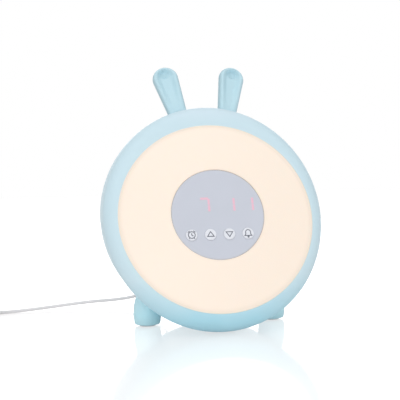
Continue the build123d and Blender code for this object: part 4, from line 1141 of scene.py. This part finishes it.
@dataclass
class Ear:
    """A soft flat ear with a long scoop in its front.

    Its skin is a section carried round its outline: up one side, over the half-round top and down the other.
    """

    side: int                       # -1 for the left ear, 1 for the right
    around: float = 14.0            # degrees from the drum's top
    to_face: float = 51.0           # how far behind the face's middle it stands
    lean: float = 25.0              # degrees that it leans back
    length: float = 42.9
    root_width: float = 14.2
    width: float = 21.4
    thickness: float = 9.5
    sunk: float = 9.1               # how far below its place on the drum its skin can start
    edge_round: float = 4.4         # how far in from the edge the skin still rises
    edge_power: float = 2.3         # the exponent of its quarter ellipse
    crown: float = 0.35             # how far the middle of the back stands out from its sides
    scoop_depth: float = 3.1
    scoop_rim: float = 1.9          # the plain rim beside the scoop, and at its top
    scoop_top_rim: float = 2.5
    scoop_slope: float = 5.2        # the width of the scoop's wall, and at its top
    scoop_top_slope: float = 2.0
    scoop_top_gain: float = 0.5     # how much deeper it is at its top
    scoop_root: float = 0.25        # the share of its depth at the root
    scoop_fade: float = 24.0        # the height at which it has its full depth
    painted_shade_width: float = 1.9         # the painted edge shade's width
    crowding: float = 1.6           # how closely a section's steps crowd at the edge
    section_steps: int = 64
    side_steps: int = 70
    top_steps: int = 72
    highest_root: float = 15.0      # how far above it the skin can start
    halvings: int = 30
    weld: float = 2e-6
    sharp: float = 60.0

    # the attribute that carries the painted shade along the ear's edge
    PAINTED_SHADE_EDGE: ClassVar[str] = "edge"

    @property
    def node(self) -> str:
        """The node that stands for this ear."""
        return "left_ear" if self.side < 0 else "right_ear"

    @property
    def shoulder(self) -> float:
        """The height at which the half-round top starts."""
        return self.length - self.width / 2

    def place(self) -> Place:
        """The ear's root on the drum's skin: across the ear, along it, and out of its front.

        Returns:
            The ear's own axes.
        """
        turn, lean = np.radians(self.side * self.around), np.radians(self.lean)
        across = np.array([np.cos(turn), 0.0, -np.sin(turn)])
        upright = np.array([np.sin(turn), 0.0, np.cos(turn)])
        deep = np.array([0.0, 1.0, 0.0])
        along = np.cos(lean) * upright + np.sin(lean) * deep
        front = np.sin(lean) * upright - np.cos(lean) * deep
        root = CASE_RADIUS * upright + (0.0, FACE_SET + self.to_face, AXIS_HEIGHT)
        return Place(tuple(root), tuple(across), tuple(along), tuple(front))

    def half_width(self, height: np.ndarray) -> np.ndarray:
        """Half the ear's width below its shoulder: a straight line from the sunk root."""
        share = (height + self.sunk) / (self.shoulder + self.sunk)
        return (self.root_width + (self.width - self.root_width) * share) / 2

    def section(
        self, half: np.ndarray, fade: np.ndarray, rim: np.ndarray, slope: np.ndarray
    ) -> tuple[np.ndarray, np.ndarray]:
        """Half a section, from the middle of the front round the edge to the middle of the back.

        The inset from the edge falls from the half width to nought and rises again, in closer steps near the
        edge. The skin's height is half the thickness times a quarter ellipse over the edge's round. In front
        the scoop takes its depth off with a soft slope inside the rim.

        Args:
            half: the half width of each section.
            fade: how much of the scoop's depth each has.
            rim: the width of the plain rim of each.
            slope: how wide each scoop's wall is.

        Returns:
            The distance from the middle line and the height out of the front, sections by steps.
        """
        half, fade, rim, slope = (np.asarray(a, float)[:, None] for a in (half, fade, rim, slope))
        step = np.linspace(-1.0, 1.0, 2 * self.section_steps + 1)[None, :]
        inset = half * np.abs(step) ** self.crowding
        quarter = np.clip(1 - inset / self.edge_round, 0.0, 1.0)
        rise = self.thickness / 2 * (1 - quarter**self.edge_power) ** (1 / self.edge_power)
        crown = self.crown * (1 - (inset / half) ** 2)
        scoop = self.scoop_depth * fade * soft_step((inset - rim) / slope)
        out = np.where(step < 0, rise - scoop, crown - rise)
        return half - inset, out

    def side_skin(self, height: np.ndarray, sign: int) -> np.ndarray:
        """Sections across one side at heights up to the shoulder.

        Args:
            height: the height of each section.
            sign: 1 for the right-hand side, -1 for the left.

        Returns:
            Points on the ear's own axes, sections by steps.
        """
        fade = self.scoop_root + (1 - self.scoop_root) * soft_step(height / self.scoop_fade)
        rim, slope = (np.full(len(height), size) for size in (self.scoop_rim, self.scoop_slope))
        across, out = self.section(self.half_width(height), fade, rim, slope)
        return np.stack([sign * across, np.broadcast_to(height[:, None], across.shape), out], -1)

    def side_grid(self, sign: int, place: Place) -> np.ndarray:
        """One side from the drum's skin to the shoulder.

        Every step of the section starts where it meets the drum, found by halving, and its heights are spread
        evenly from there to the shoulder.

        Args:
            sign: 1 for the right-hand side, -1 for the left.
            place: the ear's own axes.

        Returns:
            Points on those axes, heights by steps.
        """
        steps = 2 * self.section_steps + 1
        pick = np.arange(steps)
        low, high = np.full(steps, -self.sunk), np.full(steps, self.highest_root)
        for _ in range(self.halvings):
            middle = (low + high) / 2
            spot = place.put(self.side_skin(middle, sign)[pick, pick]) / MM
            inside = np.hypot(spot[:, 0], spot[:, 2] - AXIS_HEIGHT) < skin_radius(spot[:, 1]) + SKIN_GAP
            low, high = np.where(inside, middle, low), np.where(inside, high, middle)
        share = np.linspace(0.0, 1.0, self.side_steps)[:, None]
        height = low + (self.shoulder - low) * share
        rows = [self.side_skin(height[:, i], sign)[:, i] for i in range(steps)]
        return np.stack(rows, 1)

    def top_grid(self) -> np.ndarray:
        """The top: the shoulder's section turned half round about the middle of the shoulder.

        Returns:
            Points on the ear's own axes, sections by steps.
        """
        angle = np.linspace(0.0, np.pi, self.top_steps)
        top = np.sin(angle) ** 2
        rim = self.scoop_rim + (self.scoop_top_rim - self.scoop_rim) * top
        slope = self.scoop_slope + (self.scoop_top_slope - self.scoop_slope) * top
        half = np.full(len(angle), self.width / 2)
        across, out = self.section(half, 1 + self.scoop_top_gain * top, rim, slope)
        cos, sin = np.cos(angle)[:, None], np.sin(angle)[:, None]
        return np.stack([across * cos, self.shoulder + across * sin, out], -1)

    def paint_edge_shade(self, mesh: bpy.types.Mesh, place: Place) -> None:
        """Stores on every point how near the ear's edge it lies, for the painted shade there: one on the edge,
        nought at the edge's width.

        A point lies in from the edge by the half width less its distance from the middle line or, above the
        shoulder, from the shoulder's middle.

        Args:
            mesh: the ear's mesh.
            place: its own axes.
        """
        points = np.empty(3 * len(mesh.vertices))
        mesh.vertices.foreach_get("co", points)
        across, height, _ = place.take(points.reshape(-1, 3)).T
        above = np.clip(height - self.shoulder, 0.0, None)
        inset = self.half_width(np.minimum(height, self.shoulder)) - np.hypot(across, above)
        layer = mesh.attributes.new(self.PAINTED_SHADE_EDGE, "FLOAT", "POINT")
        layer.data.foreach_set("value", 1 - soft_step(inset / self.painted_shade_width))

    def build(self, material: bpy.types.Material) -> bpy.types.Object:
        """Makes the ear.

        Args:
            material: its skin's finish.

        Returns:
            The ear's object.
        """
        place = self.place()
        right, left = self.side_grid(1, place), self.side_grid(-1, place)
        grid = np.vstack([right, self.top_grid()[1:-1], left[::-1]])
        surface = Surface()
        surface.add_grid(place.put(grid))
        ring = np.vstack([right[0], left[0][-2:0:-1]])
        surface.add_fan(place.put(ring), place.put(ring).mean(0), flip=True)
        piece = surface.piece(f"{self.node}_soft", self.weld, self.sharp)
        self.paint_edge_shade(piece.data, place)
        return settle(piece, Body.ROOT, material, replaces=(self.node,))


# ---------------------------------------------------------------- printed marks


Stroke = tuple[np.ndarray, bool]


@dataclass
class Mark:
    """Lines printed in a thin film of ink on a flat place of the clock."""

    name: str
    body: Body
    place: Place
    centre: Point
    slot: str
    scale: float = 1.0
    film: float = 0.03          # the ink's thickness
    line: float = 0.62          # a line's width
    sharpest: float = 0.46      # the least cosine of half a bend that a line's corner follows

    END: ClassVar[np.ndarray] = np.array([(0, 1), (3, 2)])      # a section's corners as a grid

    def strokes(self) -> list[Stroke]:
        """The lines from the mark's middle, in millimetres, and whether each is closed."""
        return []

    def ribbon(self, path: np.ndarray, closed: bool) -> np.ndarray:
        """A flat line with its film's thickness: four edge lines carried along the path.

        At each point the edges lie half the line's width to either side, along the bisector of the
        neighbouring directions, and a bend lengthens it by one over the half angle's cosine.

        Args:
            path: the line's points.
            closed: whether it ends where it starts.

        Returns:
            A grid of path points by the section's four corners.
        """
        first, last = (path[-1], path[0]) if closed else (2 * path[0] - path[1], 2 * path[-1] - path[-2])
        into = path - np.vstack([first, path[:-1]])
        away = np.vstack([path[1:], last]) - path
        sides = []
        for run in (into, away):
            sides.append(np.stack([-run[:, 1], run[:, 0]], -1) / np.linalg.norm(run, axis=1, keepdims=True))
        bisector = sides[0] + sides[1]
        bisector /= np.linalg.norm(bisector, axis=1, keepdims=True)
        bend = np.maximum((bisector * sides[0]).sum(1), self.sharpest)[:, None]
        offset = bisector / bend * self.line / 2
        corners = ((1, 0.0), (1, self.film), (-1, self.film), (-1, 0.0))
        edges = [np.column_stack([path + side * offset, np.full(len(path), high)]) for side, high in corners]
        return np.stack(edges, 1)

    def build(self, ink: bpy.types.Material) -> bpy.types.Object:
        """Makes the ink and lets it ride on what carries it.

        Args:
            ink: its finish.

        Returns:
            The mark's object.
        """
        surface = Surface()
        for path, closed in self.strokes():
            grid = self.place.put(self.ribbon(path * self.scale, closed) + self.centre)
            surface.add_grid(grid, wrap=(closed, True))
            if not closed:
                surface.add_grid(grid[0][self.END])
                surface.add_grid(grid[-1][self.END], flip=True)
        return settle(surface.piece(self.name), self.body, ink)


def arc(radius: float, start: float, stop: float, count: int) -> np.ndarray:
    """Points on a circle between two angles, clockwise from the top.

    Args:
        radius: the circle's radius.
        start: the first angle, in degrees.
        stop: the last one.
        count: how many points.

    Returns:
        The points, in rows.
    """
    angle = np.radians(np.linspace(start, stop, count))
    return radius * np.stack([np.sin(angle), np.cos(angle)], -1)


def circle(radius: float, count: int = 40) -> np.ndarray:
    """Points round a whole circle, clockwise from the top.

    Args:
        radius: the circle's radius.
        count: how many points.

    Returns:
        The points, in rows.
    """
    return arc(radius, 0.0, 360.0, count + 1)[:-1]


class Icon(Enum):
    """What is printed on a key."""

    CLOCK = "clock"
    UP = "up"
    DOWN = "down"
    BELL = "bell"


@dataclass
class KeyIcon(Mark):
    """An icon printed on a key's top."""

    icon: Icon = Icon.CLOCK
    triangle: Sequence[tuple[float, float]] = ((-2.35, -1.45), (2.35, -1.45), (0.0, 2.05))
    clock_ring: float = 2.35
    clock_hands: Sequence[tuple[float, float]] = ((0.0, 1.25), (0.0, 0.0), (1.05, -0.75))
    clock_bells: float = 3.2                                # their radius about the clock's middle
    bell_span: tuple[float, float] = (22.0, 55.0)           # degrees from the top
    foot_angle: float = 145.0                               # a foot's direction, in degrees from the top
    foot_span: tuple[float, float] = (2.5, 3.35)            # where it starts and ends
    bell_lip: Sequence[tuple[float, float]] = ((-2.55, -1.7), (-1.75, -0.7))
    dome: float = 1.75
    dome_rise: float = 0.75
    clapper: float = 0.42
    clapper_drop: float = 2.6

    def strokes(self) -> list[Stroke]:
        """The icon's lines."""
        return {Icon.CLOCK: self.clock, Icon.BELL: self.bell}.get(self.icon, self.arrow)()

    def arrow(self) -> list[Stroke]:
        """A triangle that points up or down."""
        flip = 1 if self.icon is Icon.UP else -1
        return [(np.array(self.triangle) * (1, flip), True)]

    def clock(self) -> list[Stroke]:
        """An alarm clock: its ring and hands, two bells and two feet.

        Returns:
            Its lines.
        """
        lines = [(circle(self.clock_ring), True), (np.array(self.clock_hands), False)]
        for side in (-1, 1):
            lines.append((arc(self.clock_bells, *self.bell_span, 8) * (side, 1), False))
            foot = [arc(radius, self.foot_angle, self.foot_angle, 1)[0] for radius in self.foot_span]
            lines.append((np.array(foot) * (side, 1), False))
        return lines

    def bell(self) -> list[Stroke]:
        """A bell: its dome and flared lip, and its clapper.

        Returns:
            Its lines.
        """
        lip = np.array(self.bell_lip)
        dome = arc(self.dome, -90.0, 90.0, 21) + (0.0, self.dome_rise)
        clapper = circle(self.clapper, 20) - (0.0, self.clapper_drop)
        return [(np.vstack([lip, dome, lip[::-1] * (-1, 1)]), True), (clapper, True)]


@dataclass
class KeyRow:
    """The four keys' icons in a row, one on the top of each."""

    pitch: float = 14.4
    row: float = -16.1          # up the face from its middle
    top: float = 5.7            # the keys' tops, out of the face
    scale: float = 1.08

    def build(self, ink: bpy.types.Material) -> None:
        """Prints the icons from left to right.

        Args:
            ink: their finish.
        """
        for index, icon in enumerate(Icon):
            centre = ((index - (len(Icon) - 1) / 2) * self.pitch, self.row, self.top)
            body = Body(f"{icon.value}_key")
            mark = KeyIcon(f"{icon.value}_key_icon", body, FACE, centre, "key_white", self.scale, icon=icon)
            mark.build(ink)


@dataclass
class PolarityMark(Mark):
    """The usual sign beside a supply socket: minus on the sleeve, plus on the pin."""

    cup: float = 1.9
    cup_span: tuple[float, float] = (40.0, 320.0)           # degrees from the top, where it is open
    pin: float = 0.35
    reach: float = 3.2          # how far the lines run from the middle
    ring: float = 1.45
    ring_at: float = 4.7
    arm: float = 0.8            # half a plus's or minus's width

    def strokes(self) -> list[Stroke]:
        """A cup round a pin, a line from each, and a ringed minus and plus at their ends.

        Returns:
            The sign's lines.
        """
        lines = [(arc(self.cup, *self.cup_span, 32), False), (circle(self.pin), True)]
        for start, side in ((self.cup, -1), (self.pin, 1)):
            lines.append((np.array([(start, 0.0), (self.reach, 0.0)]) * side, False))
        level = np.array([(-self.arm, 0.0), (self.arm, 0.0)])
        for side in (-1, 1):
            middle = np.array([side * self.ring_at, 0.0])
            lines += [(circle(self.ring) + middle, True), (level + middle, False)]
        lines.append((level[:, ::-1] + (self.ring_at, 0.0), False))
        return lines


# ---------------------------------------------------------------- the diffuser's lip


@dataclass
class DiffuserLip:
    """The thin lip of the diffuser that lies over the inner edge of the case's rim."""

    profile: Sequence[tuple[float, float]] = (      # radius and height out of the face
        (73.7, -0.1), (73.7, 0.12), (74.0, 0.23), (74.5, 0.27), (75.0, 0.25), (75.3, 0.17), (75.42, 0.05),
        (75.42, -0.12),
    )
    around: int = 288

    def build(self, material: bpy.types.Material) -> bpy.types.Object:
        """Makes the lip: its section carried round the face's axis.

        Args:
            material: its finish.

        Returns:
            The lip's object.
        """
        surface = Surface()
        surface.add_grid(FACE.put(turned(np.array(self.profile), self.around)), wrap=(True, True), flip=True)
        return settle(surface.piece("diffuser_lip", sharp=50.0), Body.ROOT, material)


# ---------------------------------------------------------------- the back's small parts


@dataclass
class GrilleCloth:
    """A round of thin acoustic cloth between the speaker and the holes in the back."""

    rise: float = 22.0          # its middle's height over the drum's axis
    radius: float = 21.6
    top: float = -2.62          # its outer face, out of the back
    thickness: float = 0.3

    def build(self, material: bpy.types.Material) -> bpy.types.Object:
        """Makes the disc: a rim carried round its axis, closed at both poles.

        Args:
            material: its finish.

        Returns:
            The disc's object.
        """
        low = self.top - self.thickness
        rim = turned(np.array([(self.radius, low), (self.radius, self.top)]))
        grid = BACK.put(rim + (0.0, self.rise, 0.0))
        centre = BACK.put(np.array([(0.0, self.rise, low), (0.0, self.rise, self.top)]))
        surface = Surface()
        surface.add_grid(grid, wrap=(False, True), flip=True)
        surface.add_fan(grid[1], centre[1])
        surface.add_fan(grid[0], centre[0], flip=True)
        return settle(surface.piece("grille_cloth"), Body.ROOT, material)


@dataclass
class DoorRibs:
    """Finger ribs on the battery door."""

    centre: tuple[float, float] = (-26.0, -41.5)
    count: int = 4
    pitch: float = 3.4
    half_length: float = 6.5
    half_width: float = 0.8
    height: float = 0.9
    sunk: float = 0.05          # how far their bases lie in the door
    around: int = 32            # steps round a rib
    rows: int = 7               # steps from its outline to its middle line

    def rib(self, drop: float) -> tuple[np.ndarray, np.ndarray]:
        """One rib: its outline drawn in towards its middle line while it rises on a quarter ellipse.

        Args:
            drop: how far below the first rib it lies.

        Returns:
            A grid from the outline to the middle line by steps round it, and the middle of its base.
        """
        angle = round_angles(self.around)
        share = np.linspace(0.0, np.pi / 2, self.rows)[:, None]
        core = np.where(np.cos(angle) >= 0, 1.0, -1.0) * (self.half_length - self.half_width)
        x = core + self.half_width * np.cos(share) * np.cos(angle)
        y = self.half_width * np.cos(share) * np.sin(angle)
        z = (self.height + self.sunk) * np.sin(share) - self.sunk + 0 * angle
        middle = (self.centre[0], self.centre[1] + (self.count - 1) * self.pitch / 2 - drop, 0.0)
        return np.stack([x, y, z], -1) + middle, np.array(middle) - (0.0, 0.0, self.sunk)

    def build(self, material: bpy.types.Material) -> bpy.types.Object:
        """Makes all the ribs as one piece on the door.

        Args:
            material: their finish.

        Returns:
            The ribs' object.
        """
        surface = Surface()
        for index in range(self.count):
            grid, base = self.rib(index * self.pitch)
            surface.add_grid(BACK.put(grid), wrap=(False, True))
            surface.add_fan(BACK.put(grid[0]), BACK.put(base), flip=True)
        piece = surface.piece("door_ribs", weld=1e-5, sharp=50.0)
        return settle(piece, Body.BATTERY_DOOR, material)


# ---------------------------------------------------------------- dressing the nodes


def dress(material: bpy.types.Material, names: Iterable[str]) -> None:
    """Gives CAD nodes a material.

    Args:
        material: the finish.
        names: the nodes.
    """
    for name in names:
        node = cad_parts[name]
        if not node.data.materials:
            node.data.materials.append(material)
        for index in range(len(node.data.materials)):
            node.data.materials[index] = material


CASE_BLUE = srgb(204, 227, 236)
EAR_BLUE = srgb(190, 221, 231)


@dataclass
class Finishes:
    """Every finish by the nodes that carry it."""

    case: CaseSkin = CaseSkin("case_blue_skin", CASE_BLUE, specular=0.35)
    ear: EarSkin = EarSkin("ear_blue_skin", EAR_BLUE, specular=0.35, pale=EAR_BLUE)
    # the feet's skin is a paler copy of the case's skin: painted light that lifts the shade on the feet
    foot: CaseSkin = CaseSkin("foot_blue_skin", srgb(216, 242, 249), specular=0.35, deep=srgb(196, 240, 250))
    diffuser: LitOpal = LitOpal(
        "lit_opal", (0.6, 0.55, 0.5), glow=(0.38, 0.305, 0.235), edge_glow=(0.27, 0.2, 0.14)
    )
    panel: SmokedWindow = SmokedWindow(
        "display_window", srgb(199, 203, 214), painted_rim_shade=srgb(187, 190, 198), lit=(0.52, 0.2, 0.27)
    )
    key: MouldedPlastic = MouldedPlastic("key_white_satin", srgb(227, 229, 236), 0.4, depth=0.00001)
    ink: MouldedPlastic = MouldedPlastic("icon_ink", srgb(92, 96, 108), 0.6, cloud=0.06)
    plunger: MouldedPlastic = MouldedPlastic("plunger_red", (0.4, 0.02, 0.015), 0.4)
    black: MouldedPlastic = MouldedPlastic("switch_black", (0.015, 0.015, 0.017), 0.45)
    tray: MouldedPlastic = MouldedPlastic("tray_white", (0.82, 0.82, 0.8))
    module: MouldedPlastic = MouldedPlastic("module_grey", srgb(200, 203, 212))
    unlit: MouldedPlastic = MouldedPlastic("segment_unlit", srgb(200, 203, 212), 0.4)
    lit: Lamp = Lamp("segment_lit", (0.5, 0.2, 0.25), (1.0, 0.26, 0.38), 1.25)
    lamp: Lamp = Lamp("lamp_yellow", (0.85, 0.6, 0.12), (1.0, 0.8, 0.5), 2.0)
    board: CircuitBoard = CircuitBoard("board_green", (0.01, 0.09, 0.035), (0.02, 0.2, 0.08))
    white_board: CircuitBoard = CircuitBoard("board_white", (0.78, 0.78, 0.75), (0.7, 0.7, 0.68), 0.004)
    sleeve: MouldedPlastic = MouldedPlastic("capacitor_sleeve", (0.01, 0.015, 0.07), 0.3)
    basket: Metal = Metal("basket_steel", (0.12, 0.12, 0.125), 0.45)
    nickel: Metal = Metal("nickel_plate", (0.62, 0.6, 0.56), 0.22)
    screw: Metal = Metal("screw_zinc", (0.42, 0.455, 0.48), 0.35)
    paper: PressedPaper = PressedPaper("cone_paper")
    cloth: AcousticCloth = AcousticCloth("acoustic_cloth")
    rubber: MouldedPlastic = MouldedPlastic(
        "pad_rubber", (0.62, 0.65, 0.67), 0.85, grain=0.0008, depth=0.00005, specular=0.2
    )
    wire: MouldedPlastic = MouldedPlastic("harness_wire", (0.55, 0.03, 0.02), 0.4)
    cord: MouldedPlastic = MouldedPlastic("cord_white_sheath", srgb(224, 222, 223), 0.38, grain=0.0007)
    tie: MouldedPlastic = MouldedPlastic("tie_white", (0.72, 0.72, 0.72), 0.45)

    def dress_nodes(self) -> dict[str, bpy.types.Material]:
        """Builds each finish and gives it to its nodes.

        Returns:
            The materials that new pieces need as well.
        """
        nodes = sorted(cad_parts)
        screws = [n for n in nodes if n.endswith("_screws") or n == "battery_door_screw"]
        groups = {
            "case": ["front_bezel", "rear_housing", "battery_door"],
            "ear": ["left_ear", "right_ear"],
            "foot": ["left_foot", "right_foot"],
            "diffuser": ["diffuser_ring"],
            "panel": ["display_panel"],
            "key": [n for n in nodes if n.startswith("key_") and "plunger" not in n],
            "plunger": [n for n in nodes if n.startswith("key_plunger_")],
            "black": ["tact_switches", "controller_chip", "dc_socket"],
            "tray": ["reflector_tray", "board_connectors"],
            "module": ["digit_module"],
            "unlit": ["digit_segments_unlit"],
            "lit": ["digit_segments_lit"],
            "lamp": ["ring_leds"],
            "board": ["display_board", "main_board"],
            "white_board": ["led_ring_board"],
            "sleeve": ["board_capacitors"],
            "basket": ["speaker_frame", "speaker_magnet"],
            "nickel": ["coin_cell", "battery_contact", "dc_socket_pin", "cord_plug_barrel", "usb_plug_shell"],
            "screw": screws,
            "paper": ["speaker_cone"],
            "rubber": ["foot_pads", "base_pad"],
            "wire": ["display_cable", "led_cable", "speaker_cable"],
            "cord": [
                "power_cord", "power_cord_end", "cord_coil",
                "cord_plug", "cord_strain_relief", "usb_plug_body",
            ],
            "tie": ["cord_tie"],
        }
        made = {key: getattr(self, key).material() for key in groups}
        made |= {"ink": self.ink.material(), "cloth": self.cloth.material()}
        for key, names in groups.items():
            dress(made[key], names)
        missing = set(nodes) - {n for names in groups.values() for n in names}
        LOG.info("nodes without a finish: %s", sorted(missing))
        return made


# ---------------------------------------------------------------- the clock


def main() -> None:
    """Builds the clock's pieces in order."""
    logging.basicConfig(level=logging.INFO, format="%(message)s")
    bpy.context.scene.view_settings.view_transform = "Standard"
    Studio().build()
    made = Finishes().dress_nodes()
    SupplyCord().build(made["cord"])
    for side in (-1, 1):
        Ear(side).build(made["ear"])
    DiffuserLip().build(made["diffuser"])
    KeyRow().build(made["ink"])
    spot = (0.5, -58.0, 0.0)
    PolarityMark("socket_polarity_mark", Body.ROOT, BACK, spot, "case_blue", 1.3, line=0.5).build(made["ink"])
    GrilleCloth().build(made["cloth"])
    DoorRibs().build(made["case"])


if __name__ == "__main__":
    main()
